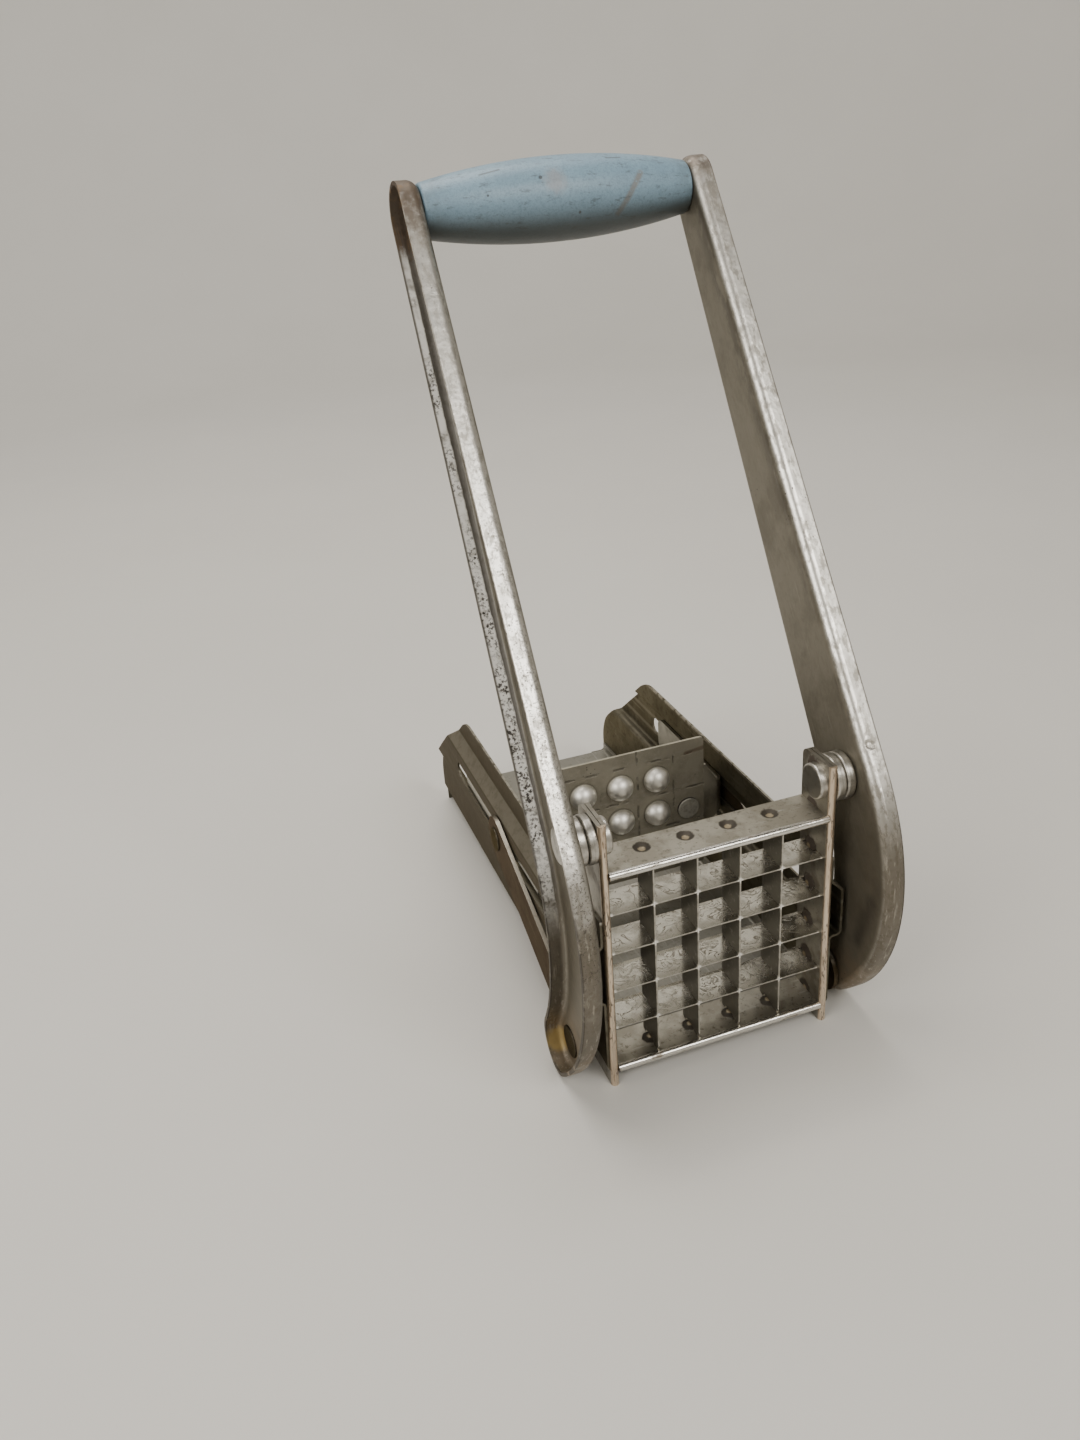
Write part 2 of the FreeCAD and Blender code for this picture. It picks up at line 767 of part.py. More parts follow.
def grip(name):
    """Turned wooden barrel, bored for the tie rod."""
    body = new_body(name)
    half = arm_grip_x - grip_end_gap
    round_start = half - grip_end_round
    swell = grip_belly_radius - grip_end_radius
    barrel = (round_start * round_start + swell * swell) / (2 * swell)
    bore = tie_rod_radius + seat_clearance
    sketch = new_sketch(body, "XY_Plane", y=grip_y, z=grip_z)
    draw(sketch, [
        ((-half, bore), None),
        ((half, bore), None),
        ((half, grip_end_radius - grip_end_round), (grip_end_round, 1)),
        ((round_start, grip_end_radius), (barrel, 1)),
        ((Size.of(0) * half, grip_belly_radius), (barrel, 1)),
        ((-round_start, grip_end_radius), (grip_end_round, 1)),
        ((-half, grip_end_radius - grip_end_round), None),
    ])
    spin(body, sketch, "Revolution", "H_Axis")


def tie_rod(name):
    """Rod through the grip and both arms, headed over at each end."""
    body = new_body(name)
    seat = arm_grip_x + arm_sheet + grip_end_gap
    end = seat + tie_head
    turned_x(body, [
        (-end, Size.of(0)),
        (-end, tie_head_radius, head_round),
        (-seat, tie_head_radius),
        (-seat, tie_rod_radius),
        (seat, tie_rod_radius),
        (seat, tie_head_radius),
        (end, tie_head_radius, head_round),
        (end, Size.of(0)),
    ], grip_y, grip_z)


# Pusher

def pusher_plate(name):
    """Plate with pressed hollow domes, one to each inner cell of the grid."""
    body = new_body(name)
    sketch = new_sketch(body, "XZ_Plane", z=-pusher_back)
    low = grid_middle - pusher_half_height
    high = grid_middle + pusher_half_height
    outline(sketch, [
        (-pusher_half_width, low, pusher_round),
        (pusher_half_width, low, pusher_round),
        (pusher_half_width, high, pusher_round),
        (-pusher_half_width, high, pusher_round),
    ])
    pad(body, sketch, pusher_sheet, reverse=True)
    hollow = dome_radius - pusher_sheet
    first = grid_pitch * ((1 - DOMES) / 2)
    for row in range(DOMES):
        features = []
        for kind, radius, base in (("Revolution", dome_radius, pusher_sheet / 2), ("Groove", hollow, 2 * pusher_sheet)):
            dome = new_sketch(body, "XY_Plane", x=first, z=grid_middle + first + grid_pitch * row)
            draw(dome, [
                ((Size.of(0), pusher_back - radius), (radius, 1)),
                ((radius, pusher_back), None),
                ((radius, pusher_back + base), None),
                ((Size.of(0), pusher_back + base), None),
            ])
            features.append(spin(body, dome, kind, "V_Axis"))
        repeat(body, features, "X_Axis", grid_pitch, DOMES)
    rivet_holes(body)


def rivet_holes(body):
    """Holes for the two rivets that join plate and carriage."""
    holes = new_sketch(body, "XZ_Plane")
    for _, side in SIDES:
        disc(holes, pusher_rivet_x * side, pusher_rivet_height, pusher_rivet_radius + seat_clearance)
    cut_through(body, holes)


def pusher_carriage(name):
    """Bracket behind the plate: its shoulders taper to wings that run in the wall channels."""
    body = new_body(name)
    front = carriage_rear - carriage_sheet
    rear = carriage_rear
    inner = wing_outer - carriage_sheet
    low = guide_height - carriage_half_height
    high = guide_height + carriage_half_height
    outer_bend = carriage_bend + carriage_sheet
    sketch = new_sketch(body, "XY_Plane", z=low - 1)
    outline(sketch, [
        (wing_outer, wing_rear + 1),
        (wing_outer, front, outer_bend),
        (-wing_outer, front, outer_bend),
        (-wing_outer, wing_rear + 1),
        (-inner, wing_rear + 1),
        (-inner, rear, carriage_bend),
        (inner, rear, carriage_bend),
        (inner, wing_rear + 1),
    ])
    pad(body, sketch, 2 * carriage_half_height + 2)
    reach = 2 * wing_rear
    wing_low = guide_height - wing_half_height
    wing_high = guide_height + wing_half_height
    trim_to(body, "XZ_Plane", [
        (-wing_outer - 1, wing_low),
        (-carriage_neck_x, wing_low),
        (-carriage_shoulder_x, low),
        (carriage_shoulder_x, low),
        (carriage_neck_x, wing_low),
        (wing_outer + 1, wing_low),
        (wing_outer + 1, wing_high),
        (carriage_neck_x, wing_high),
        (carriage_shoulder_x, high),
        (-carriage_shoulder_x, high),
        (-carriage_neck_x, wing_high),
        (-wing_outer - 1, wing_high),
    ], reach)
    trim_to(body, "YZ_Plane", [
        (front - 1, low - 2),
        (rear + outer_bend, low - 2),
        (rear + outer_bend, wing_low),
        (wing_rear, wing_low, wing_round),
        (wing_rear, wing_high, wing_round),
        (rear + outer_bend, wing_high),
        (rear + outer_bend, high + 2),
        (front - 1, high + 2),
    ], reach)
    holes = new_sketch(body, "YZ_Plane")
    disc(holes, pin_back, guide_height, pin_radius + seat_clearance)
    cut_through(body, holes)
    rivet_holes(body)


def pusher_rivet(name, side):
    """Flat-headed rivet that joins plate and carriage."""
    body = new_body(name)
    head = pusher_back - pusher_rivet_head
    tail = carriage_rear
    sketch = new_sketch(body, "XY_Plane", x=pusher_rivet_x * side, z=pusher_rivet_height)
    outline(sketch, [
        (Size.of(0), head),
        (pusher_rivet_head_radius, head, pusher_rivet_head / 2),
        (pusher_rivet_head_radius, pusher_back),
        (pusher_rivet_radius, pusher_back),
        (pusher_rivet_radius, tail),
        (pusher_rivet_head_radius, tail),
        (pusher_rivet_head_radius, tail + pusher_rivet_head, pusher_rivet_head / 2),
        (Size.of(0), tail + pusher_rivet_head),
    ])
    spin(body, sketch, "Revolution", "V_Axis")


def slide_pin(name, side):
    """Pin from the wing through the wall slot and the link."""
    body = new_body(name)
    inner = wing_outer - carriage_sheet
    seat = link_outer + running_clearance
    turned_x(body, [
        (inner - pin_head, Size.of(0)),
        (inner - pin_head, pin_head_radius, pin_head / 2),
        (inner, pin_head_radius),
        (inner, pin_radius),
        (seat, pin_radius),
        (seat, pin_head_radius),
        (seat + pin_head, pin_head_radius, pin_head / 2),
        (seat + pin_head, Size.of(0)),
    ], pin_back, guide_height, side)


# Links

def link(name, side):
    """Flat bar with round ends from the slide pin to the lower boss of the arm."""
    body = new_body(name, pin_back, 0.0, guide_height, (1, 0, 0), link_angle)
    half = link_width / 2
    sketch = new_sketch(body, "YZ_Plane", z=link_inner * side)
    outline(sketch, [
        (-link_length - half, -half, half),
        (half, -half, half),
        (half, half, half),
        (-link_length - half, half, half),
    ])
    disc(sketch, Size.of(0), Size.of(0), pin_radius + running_clearance)
    pad(body, sketch, link_sheet, reverse=side < 0)


# Assembly

for number in range(BLADES):
    upright_blade(f"vertical_blade_{number + 1}", number)
    level_blade(f"horizontal_blade_{number + 1}", number)
cross_plate("top_plate", grid_top, 1, top_pip_back)
cross_plate("bottom_plate", grid_bottom, -1, bottom_pip_back)
floor_plate("floor_plate")
for label, hand in SIDES:
    side_plate(f"side_plate_{label}", hand)
    side_wall(f"side_wall_{label}", hand)
    pivot_rivet(f"pivot_rivet_{label}", hand)
    pivot_washer(f"inner_washer_{label}", hand, 0)
    pivot_washer(f"outer_washer_{label}", hand, 1)
    lever_arm(f"lever_arm_{label}", hand)
    link_rivet(f"link_rivet_{label}", hand)
    pusher_rivet(f"pusher_rivet_{label}", hand)
    slide_pin(f"slide_pin_{label}", hand)
    link(f"link_{label}", hand)
grip("grip")
tie_rod("tie_rod")
pusher_plate("pusher_plate")
pusher_carriage("pusher_carriage")

DOC.recompute()

# Checks and export

for item in DOC.Objects:
    if "Invalid" in item.State or "Error" in item.State:
        raise RuntimeError(f"{item.Label} did not build: {item.State}")

os.makedirs("parts", exist_ok=True)
for body in BODIES:
    if body.Shape.isNull() or not body.Shape.isValid():
        raise RuntimeError(f"{body.Label} has no valid shape")
    body.Shape.exportStep(f"parts/{body.Label}.step")
    bounds = body.Shape.BoundBox
    print(f"{body.Label:20s} volume {body.Shape.Volume:9.1f}  solids {len(body.Shape.Solids)}  "
          f"x {bounds.XMin:7.2f} {bounds.XMax:7.2f}  y {bounds.YMin:7.2f} {bounds.YMax:7.2f}  "
          f"z {bounds.ZMin:7.2f} {bounds.ZMax:7.2f}")
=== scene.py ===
# %% [markdown]
# # A lever potato chipper
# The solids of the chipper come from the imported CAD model: a folded frame with a knife grid, a
# sheet-metal trough, a studded pusher, and a two-armed lever with a wooden grip. They could be
# modelled again here, but then two shapes of one object would have to be kept alike. So this lesson
# keeps every solid where it is, and gives the object the finishes of a well-used kitchen tool:
# tarnished tin, bright worn rims, pits, stains and scuffed paint.

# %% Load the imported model
import math

import bpy
import numpy as np
from mathutils import Matrix, Vector


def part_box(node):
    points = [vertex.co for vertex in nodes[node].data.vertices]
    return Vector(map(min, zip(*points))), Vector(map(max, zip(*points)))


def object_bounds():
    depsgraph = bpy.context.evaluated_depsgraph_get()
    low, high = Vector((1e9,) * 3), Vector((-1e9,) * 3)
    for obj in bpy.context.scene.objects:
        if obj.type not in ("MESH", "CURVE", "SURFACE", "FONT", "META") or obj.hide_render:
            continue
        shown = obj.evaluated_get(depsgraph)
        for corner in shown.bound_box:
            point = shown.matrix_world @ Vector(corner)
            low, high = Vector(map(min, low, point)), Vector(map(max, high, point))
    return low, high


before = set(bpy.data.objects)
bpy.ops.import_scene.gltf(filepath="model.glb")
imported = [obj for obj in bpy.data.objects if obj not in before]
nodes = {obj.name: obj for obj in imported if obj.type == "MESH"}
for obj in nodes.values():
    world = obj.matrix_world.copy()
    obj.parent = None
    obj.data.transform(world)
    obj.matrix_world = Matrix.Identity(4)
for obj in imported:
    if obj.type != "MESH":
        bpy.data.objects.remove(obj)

cad_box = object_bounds()
corners = [[round(value, 4) for value in corner] for corner in cad_box]
print("CAD nodes:", len(nodes), "box:", corners)

# %% [markdown]
# ## Measures
# The source of the part measures lengths along Y from the front edges of the knives. Places could
# be given in the frame's metres, but the source's numbers are easier to read. So one helper turns
# such a point, in millimetres, into the frame's metres.

# %% Measures of the chipper
MM = 0.001
KNIFE_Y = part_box("horizontal_blade_1")[0].y


def place(x, y, z):
    """A point in millimetres, with y measured back from the knife edges, as metres in the frame."""
    return Vector((x * MM, y * MM + KNIFE_Y, z * MM))


print("knife edges at y =", round(KNIFE_Y, 5))

# %% [markdown]
# ## Camera
# The photograph looks down on the chipper from the front left, a little rolled. A camera can be
# matched by eye, but the knife grid is square and evenly spaced, so its lines in the photograph
# give the lens and the camera's place by calculation. The columns of the camera's matrix are its
# right, up and backward directions, and a small shift puts the lens axis on the pixel found for it.

# %% Camera at the photograph's viewing angle
FRAME_WIDTH, FRAME_HEIGHT = 1080, 1440
LENS_PIXELS = 1173.73
AXIS_X, AXIS_Y = 546.94, 711.60
SENSOR = 36
right = Vector((0.93939, -0.33633, -0.06662))
up = Vector((0.20831, 0.40552, 0.89004))
forward = Vector((0.27233, 0.84997, -0.45100))
lens = bpy.data.cameras.new("portrait_camera")
lens.sensor_width = SENSOR
lens.lens = LENS_PIXELS / FRAME_HEIGHT * SENSOR
lens.shift_x = (FRAME_WIDTH / 2 - AXIS_X) / FRAME_HEIGHT
lens.shift_y = (AXIS_Y - FRAME_HEIGHT / 2) / FRAME_HEIGHT
camera = bpy.data.objects.new("portrait_camera", lens)
turn = Matrix((right, up, -forward)).transposed().to_4x4()
camera.matrix_world = Matrix.Translation(place(-131.68, -256.93, 268.81)) @ turn
bpy.context.scene.collection.objects.link(camera)
bpy.context.scene.camera = camera
print("lens", round(lens.lens, 2), "mm, camera at", [round(value, 4) for value in camera.location])

# %% [markdown]
# ## Floor
# A pale round cove stands in for a studio table: level under the chipper and curving up far away
# from it. A photographer would bend it from one wide sheet of card. A flat plane would be quicker,
# but its far edge would show as a hard horizon. So a profile is carried once round the Z axis, and
# every view has the same even ground.

# %% Pale studio cove
FLOOR_REACH, COVE_BEND, COVE_RISE = 1.1, 0.6, 2.0
LEVEL_RINGS, BEND_RINGS, SPOKES = 12, 25, 97


def cove_surface(reach, bend, rise):
    """A profile carried round the Z axis: a level run, a quarter circle upwards and a wall."""
    angle = np.linspace(0, math.pi / 2, BEND_RINGS)[1:]
    outward, upward = reach + bend * np.sin(angle), bend - bend * np.cos(angle)
    radius = np.concatenate([np.linspace(0, reach, LEVEL_RINGS), outward, [reach + bend]])
    height = np.concatenate([np.zeros(LEVEL_RINGS), upward, [bend + rise]])
    spoke = np.linspace(0, 2 * math.pi, SPOKES)
    level = np.repeat(height[:, None], SPOKES, 1)
    return np.stack([np.outer(radius, np.cos(spoke)), np.outer(radius, np.sin(spoke)), level], -1)


def quads(rows, columns):
    """Corner numbers of the quads of a grid of points stored row by row."""
    first = (np.arange(rows - 1)[:, None] * columns + np.arange(columns - 1)).ravel()
    return np.stack([first, first + 1, first + columns + 1, first + columns], 1)


points = cove_surface(FLOOR_REACH, COVE_BEND, COVE_RISE)
faces = quads(*points.shape[:2])[:, ::-1]
sheet = bpy.data.meshes.new("studio_cove")
sheet.from_pydata(points.reshape(-1, 3).tolist(), [], faces.tolist())
sheet.shade_smooth()
floor = bpy.data.objects.new("studio_cove", sheet)
bpy.context.scene.collection.objects.link(floor)
print("studio cove of", len(sheet.polygons), "faces")

# %% [markdown]
# ## Light
# Metal shows what stands around it, and small lamps would leave hard sparks on every bend. So the
# light comes from large soft panels: one overhead, one at the left, one high in front, which the
# leaning flanges mirror, and one that brightens the cove behind the chipper, which the knives
# reflect. A dim grey surround keeps the reflections from washing out.

# %% Soft panels and surround
WARM, SOFT, NEUTRAL = (1.0, 0.95, 0.88), (1.0, 0.97, 0.92), (1.0, 0.98, 0.95)


def soft_panel(name, target, position, size, watts, colour):
    """A rectangular area light that faces the target."""
    lamp = bpy.data.lights.new(name, "AREA")
    lamp.shape = "RECTANGLE"
    lamp.size, lamp.size_y = size
    lamp.energy = watts
    lamp.color = colour
    panel = bpy.data.objects.new(name, lamp)
    panel.location = position
    aim = Vector(target) - Vector(position)
    panel.rotation_euler = aim.to_track_quat("-Z", "Y").to_euler()
    bpy.context.scene.collection.objects.link(panel)


soft_panel("overhead_panel", (0, 0, 0.08), (-0.15, 0.25, 1.15), (0.9, 0.7), 8.5, WARM)
soft_panel("left_panel", (0, 0, 0.12), (-0.9, -0.55, 0.75), (0.6, 0.6), 6.2, SOFT)
soft_panel("front_panel", (0, 0.05, 0.15), (0.30, -0.95, 0.95), (0.6, 0.5), 7.2, SOFT)
soft_panel("backdrop_panel", (0, 1.7, 0.7), (0, 0.75, 1.75), (1.6, 0.4), 11.0, NEUTRAL)
world = bpy.data.worlds.new("studio_surround")
bpy.context.scene.world = world
world.use_nodes = True
surround = world.node_tree.nodes["Background"]
surround.inputs["Color"].default_value = (0.80, 0.78, 0.74, 1.0)
surround.inputs["Strength"].default_value = 0.10

# %% [markdown]
# ## Shader arithmetic
# Every finish below is a node tree. Trees can be wired by hand in the editor, but masks read better
# as formulas. So one small class wraps a socket and turns Python operators into Math nodes, and the
# other class owns one material and adds any other node in a single call.

# %% Sockets that take part in arithmetic
class Signal:
    """An output socket of one finish. Each operation adds a node and gives its output back."""

    def __init__(self, finish, socket):
        self.finish = finish
        self.socket = socket

    def math(self, operation, *values):
        node = self.finish.add("ShaderNodeMath", {"operation": operation}, dict(enumerate(values)))
        return self.finish.out(node)

    def __add__(self, other):
        return self.math("ADD", self, other)

    def __sub__(self, other):
        return self.math("SUBTRACT", self, other)

    def __mul__(self, other):
        return self.math("MULTIPLY", self, other)

    def __truediv__(self, other):
        return self.math("DIVIDE", self, other)

    def __radd__(self, other):
        return self.math("ADD", other, self)

    def __rsub__(self, other):
        return self.math("SUBTRACT", other, self)

    def __rmul__(self, other):
        return self.math("MULTIPLY", other, self)

    def __rtruediv__(self, other):
        return self.math("DIVIDE", other, self)

    def __abs__(self):
        return self.math("ABSOLUTE", self)

    def power(self, exponent):
        return self.math("POWER", self, exponent)

    def least(self, other):
        return self.math("MINIMUM", self, other)

    def most(self, other):
        return self.math("MAXIMUM", self, other)

    def wrapped(self, period):
        """The distance to the nearest multiple of the period, with its sign."""
        shifted = self.math("FLOORED_MODULO", self + period / 2, period)
        return shifted - period / 2

    def rise(self, low, high):
        """0 below low, 1 above high, smooth between; it falls instead where low is the higher."""
        settings = {"interpolation_type": "SMOOTHSTEP", "clamp": True}
        sockets = {"Value": self, "From Min": low, "From Max": high}
        return self.finish.out(self.finish.add("ShaderNodeMapRange", settings, sockets), "Result")


# %% Materials built from signals
class Finish:
    """One material. Its coordinates are millimetres, with y measured back from the knife edges.
    Colour, roughness and metalness are layers, each laid over the last where a mask is 1."""

    def __init__(self, name, colour, roughness, metallic=1.0):
        self.material = bpy.data.materials.new(name)
        self.material.use_nodes = True
        self.tree = self.material.node_tree
        self.shader = self.tree.nodes["Principled BSDF"]
        self.colour, self.roughness, self.metallic = colour, roughness, metallic
        source = self.add("ShaderNodeTexCoord")
        moved = self.vector_math("SUBTRACT", self.out(source, "Object"), (0.0, KNIFE_Y, 0.0))
        self.point = self.vector_math("MULTIPLY", moved, (1 / MM, 1 / MM, 1 / MM))
        self.x, self.y, self.z = self.parts(self.point)
        self.facing_x, _, self.facing_z = self.parts(self.out(source, "Normal"))

    def add(self, kind, settings=None, sockets=None):
        """Adds a node of a kind: its settings first, then the values or links of its sockets."""
        node = self.tree.nodes.new(kind)
        for name, value in (settings or {}).items():
            setattr(node, name, value)
        for name, value in (sockets or {}).items():
            self.feed(node.inputs[name], value)
        return node

    def feed(self, socket, value):
        """Links a signal to a socket, or sets the socket to a number, a vector or a colour."""
        if isinstance(value, Signal):
            self.tree.links.new(value.socket, socket)
        elif socket.type == "RGBA":
            socket.default_value = (*value, 1.0)
        else:
            socket.default_value = value

    def out(self, node, name=0):
        return Signal(self, node.outputs[name])

    def parts(self, vector):
        node = self.add("ShaderNodeSeparateXYZ", {}, {0: vector})
        return [self.out(node, axis) for axis in "XYZ"]

    def vector(self, x, y, z):
        return self.out(self.add("ShaderNodeCombineXYZ", {}, {0: x, 1: y, 2: z}))

    def vector_math(self, operation, first, second, output="Vector"):
        node = self.add("ShaderNodeVectorMath", {"operation": operation}, {0: first, 1: second})
        return self.out(node, output)

    def noise(self, scale, detail=4.0, roughness=0.55, vector=None, distortion=0.0):
        """Cloudy noise between 0 and 1; the scale is the number of clouds in a millimetre."""
        sockets = {"Vector": vector or self.point, "Scale": scale, "Detail": detail,
                   "Roughness": roughness, "Distortion": distortion}
        return self.out(self.add("ShaderNodeTexNoise", {}, sockets), "Fac")

    def cells(self, scale):
        """Distance to the nearest of many scattered points."""
        sockets = {"Vector": self.point, "Scale": scale}
        return self.out(self.add("ShaderNodeTexVoronoi", {}, sockets), "Distance")

    def pits(self, scale, size, crowding, spread=0.04):
        """Small round specks, more of them where the cloud of the given spread is thick."""
        crowd = self.noise(spread, 3.0).rise(0.68 - crowding, 0.78 - crowding)
        ragged = self.cells(scale) + self.noise(scale * 3) * 0.12
        return ragged.rise(size + 0.10, size) * crowd

    def spot(self, centre, inner, outer, point=None):
        """1 inside a ball round a point, fading to 0 at the outer radius, with a ragged rim."""
        distance = self.vector_math("DISTANCE", point or self.point, centre, "Value")
        return (distance + (self.noise(0.6) - 0.5) * (outer - inner)).rise(outer, inner)

    def stroke(self, start, end, inner, outer, point=None):
        """1 along a straight scratch from start to end, fading to 0 at the outer distance."""
        run = tuple(b - a for a, b in zip(start, end))
        length = sum(value * value for value in run)
        offset = self.vector_math("SUBTRACT", point or self.point, start)
        share = self.vector_math("DOT_PRODUCT", offset, run, "Value") / length
        sockets = {0: run, "Scale": share.most(0.0).least(1.0)}
        foot = self.add("ShaderNodeVectorMath", {"operation": "SCALE"}, sockets)
        return self.vector_math("DISTANCE", offset, self.out(foot), "Value").rise(outer, inner)

    def mix(self, factor, first, second):
        """A colour that goes from the first to the second with the factor. On a Mix node that is
        set to colour, these are the inputs 0, 6 and 7 and the output 2."""
        sockets = {0: factor, 6: first, 7: second}
        return self.out(self.add("ShaderNodeMix", {"data_type": "RGBA"}, sockets), 2)

    def layer(self, mask, colour, roughness, metallic=None):
        """Lays a colour, a roughness and perhaps a metalness over the last where the mask is 1."""
        self.colour = self.mix(mask, self.colour, colour)
        self.roughness = self.roughness + mask * (roughness - self.roughness)
        if metallic is not None:
            self.metallic = self.metallic + mask * (metallic - self.metallic)

    def relief(self, height, depth):
        """A Bump node: a height signal of the given depth in millimetres."""
        sockets = {"Height": height, "Distance": depth * MM, "Strength": 1.0}
        return self.out(self.add("ShaderNodeBump", {}, sockets))

    def dress(self, names, **sockets):
        """Connects the layers and further sockets to the shader, and gives CAD nodes the finish."""
        sockets.update(Base_Color=self.colour, Roughness=self.roughness, Metallic=self.metallic)
        for name, value in sockets.items():
            self.feed(self.shader.inputs[name.replace("_", " ")], value)
        for name in names:
            mesh = nodes[name].data
            mesh.materials.clear()
            mesh.materials.append(self.material)
        self.tell(f"on {len(names)} nodes")

    def tell(self, words):
        print(f"{self.material.name} {words}: {len(self.tree.nodes)} shader nodes")


def both(name):
    """The names of a left and right pair of nodes."""
    return [name + "_left", name + "_right"]


# %% [markdown]
# ## Lever arms
# Each arm is a steel blank pressed into a shallow tray and dipped in tin, which has worn in
# blotches and fine scratches. A picture of old tin could be wrapped round it, but real wear follows
# the shape. So the finish is built of layers, and their masks use distances along and across the
# leaning arm, and its depth from the flat web out to the lip of the flange.

# %% Worn tin on the arms
PIVOT_Y, PIVOT_Z = 4.9, 87.6
LEAN_Y, LEAN_Z = 0.5443, 0.8389
WEB_X, WEB_LEAN = 44.2, 0.00944
arm = Finish("worn_tin", (0.74, 0.72, 0.67), 0.32)
behind, above = arm.y - PIVOT_Y, arm.z - PIVOT_Z
along = behind * LEAN_Y + above * LEAN_Z
across = behind * LEAN_Z - above * LEAN_Y
depth = abs(arm.x) - WEB_X + above * WEB_LEAN
left = arm.x.rise(1.0, -1.0)
straight = arm.vector(arm.x * 1.4, across * 1.4, along * 0.05)
arm.layer(arm.noise(0.09, 5.0).rise(0.42, 0.66) * 0.8, (0.62, 0.60, 0.55), 0.40)
arm.layer(arm.noise(0.55, 6.0, 0.65).rise(0.50, 0.70) * 0.7, (0.40, 0.38, 0.33), 0.46)
arm.layer(arm.noise(1.0, 3.0, 0.6, straight).rise(0.58, 0.76) * 0.6, (0.80, 0.78, 0.74), 0.24)
mottle = arm.noise(0.5, 5.0, 0.7, arm.vector(arm.x, across, along * 0.45))
arm.layer(mottle.rise(0.50, 0.60) * (0.65 - left * 0.15), (0.24, 0.22, 0.185), 0.46)
arm.tell("with blotches and scratches")

# %% [markdown]
# Handling keeps the flanges bright, while the flat webs and the lower ends have gone dull and
# brown, with old grease smudged along the front bend. A second material on those faces would end at
# a hard line. So the direction of the face and the height make soft masks.

# %% Dull webs and darkened lower ends
FRONT_EDGE, FRONT_TAPER = 17.0, 0.0433
web = abs(arm.facing_x).rise(0.75 - left * 0.2, 0.97 - left * 0.07)
flange = 1.0 - web
arm.layer(web * 0.95, (0.178, 0.160, 0.120), 0.44, 0.6)
stain = arm.noise(0.06, 6.0, 0.65).rise(0.46, 0.62)
arm.layer(web * stain * 0.5, (0.120, 0.106, 0.078), 0.48)
from_edge = across + FRONT_EDGE - along * FRONT_TAPER
smudge = arm.noise(0.13, 6.0, 0.7, arm.vector(arm.x, across, along * 0.4)).rise(0.47, 0.60)
arm.layer(web * from_edge.rise(11.0, 4.0) * smudge * 0.65, (0.080, 0.070, 0.054), 0.50)
wiped = arm.noise(0.9, 4.0, 0.6, straight).rise(0.60, 0.76)
arm.layer(web * wiped * 0.5, (0.31, 0.29, 0.24), 0.36)
low = arm.z.rise(100.0, 66.0)
brown = low * arm.noise(0.07, 4.0).rise(0.14, 0.48) * (0.92 - web * 0.5)
arm.layer(brown, (0.114, 0.096, 0.067), 0.50, 0.6)
lowest = arm.z.rise(34.0, 14.0) * arm.noise(0.1, 4.0).rise(0.3, 0.6)
arm.layer(lowest * 0.6, (0.26, 0.195, 0.125), 0.46)
scraped = arm.noise(0.9, 4.0, 0.65, arm.vector(arm.x, arm.y * 0.6, arm.z * 0.12)).rise(0.54, 0.68)
arm.layer(low * scraped * 0.55 * flange, (0.46, 0.43, 0.37), 0.34, 1.0)
arm.tell("with dull webs")

# %% [markdown]
# On the left arm the camera sees into the tray. Along the bend of its rear flange a dark band is
# painted as the shadow that the front flange casts there. Beside it a pale strip, painted near
# white partly as the light it catches and partly as a pale coating, is crowded with black pits,
# where the tin has failed. Painted dots would look too even. So noise makes the specks, and a wider
# cloud decides where they crowd.

# %% Painted shadow, pitted strip and specks of the left arm
inner = left * across.rise(1.0, 4.0) * flange * arm.z.rise(50.0, 80.0)
rim_depth = depth - along.rise(10.0, 180.0) * 1.5 + (arm.noise(0.25, 4.0) - 0.5) * 0.8
# Painted shadow: the inner part of the rear flange, next to the bend, is darkened as the front
# flange's shade.
arm.layer(inner * rim_depth.rise(3.3, 2.6) * 0.9, (0.060, 0.052, 0.042), 0.60, 0.4)
# Partly painted light: the strip is near white and hardly metallic, standing for the light it
# catches, over a pale coating.
rear = inner * rim_depth.rise(2.6, 3.2)
arm.layer(rear * arm.noise(0.3, 5.0).rise(0.80, 0.48), (0.99, 0.98, 0.95), 0.40, 0.05)
crowd = (arm.noise(0.07, 4.0) + along.rise(210.0, -10.0) * 0.15).rise(0.44, 0.64)
speck = (arm.noise(1.1, 6.0, 0.76) - arm.cells(0.8) * 0.18).rise(0.415, 0.465)
pocks = rear * crowd * speck
arm.layer(pocks * 0.95, (0.036, 0.030, 0.025), 0.65, 0.2)
shining = left * across.rise(-1.0, -4.0)
sprinkle = shining * flange * arm.noise(1.3, 5.0, 0.75).rise(0.54, 0.60)
arm.layer(sprinkle * along.rise(170.0, 0.0) * 0.8, (0.060, 0.050, 0.040), 0.60, 0.3)
holes = arm.pits(0.42, 0.10, 0.12)
arm.layer(holes, (0.045, 0.036, 0.028), 0.6, 0.3)
arm.tell("with groove and pits")

# %% [markdown]
# The cut lips of the flanges are dark, the upper ones partly as painted edge shade, except the left
# front one, which is rubbed bright. The tops are browned by hands, the top of the left tray is
# darkened nearly to black with an orange-brown streak, and a few marks stand alone: a yellow stain
# in the left boss, a red and a black spot, a dimple, and a dark painted reflection on the right
# web.
# Each could be a decal, but a soft ball or stroke at a point on the arm needs no extra piece.

# %% Lips, tops and single marks
lip = depth.rise(6.0, 6.5)
rubbed_lip = lip * shining * (1.0 - low) * arm.noise(0.4, 3.0).rise(0.30, 0.55)
arm.layer(rubbed_lip * 0.7, (0.74, 0.71, 0.65), 0.28)
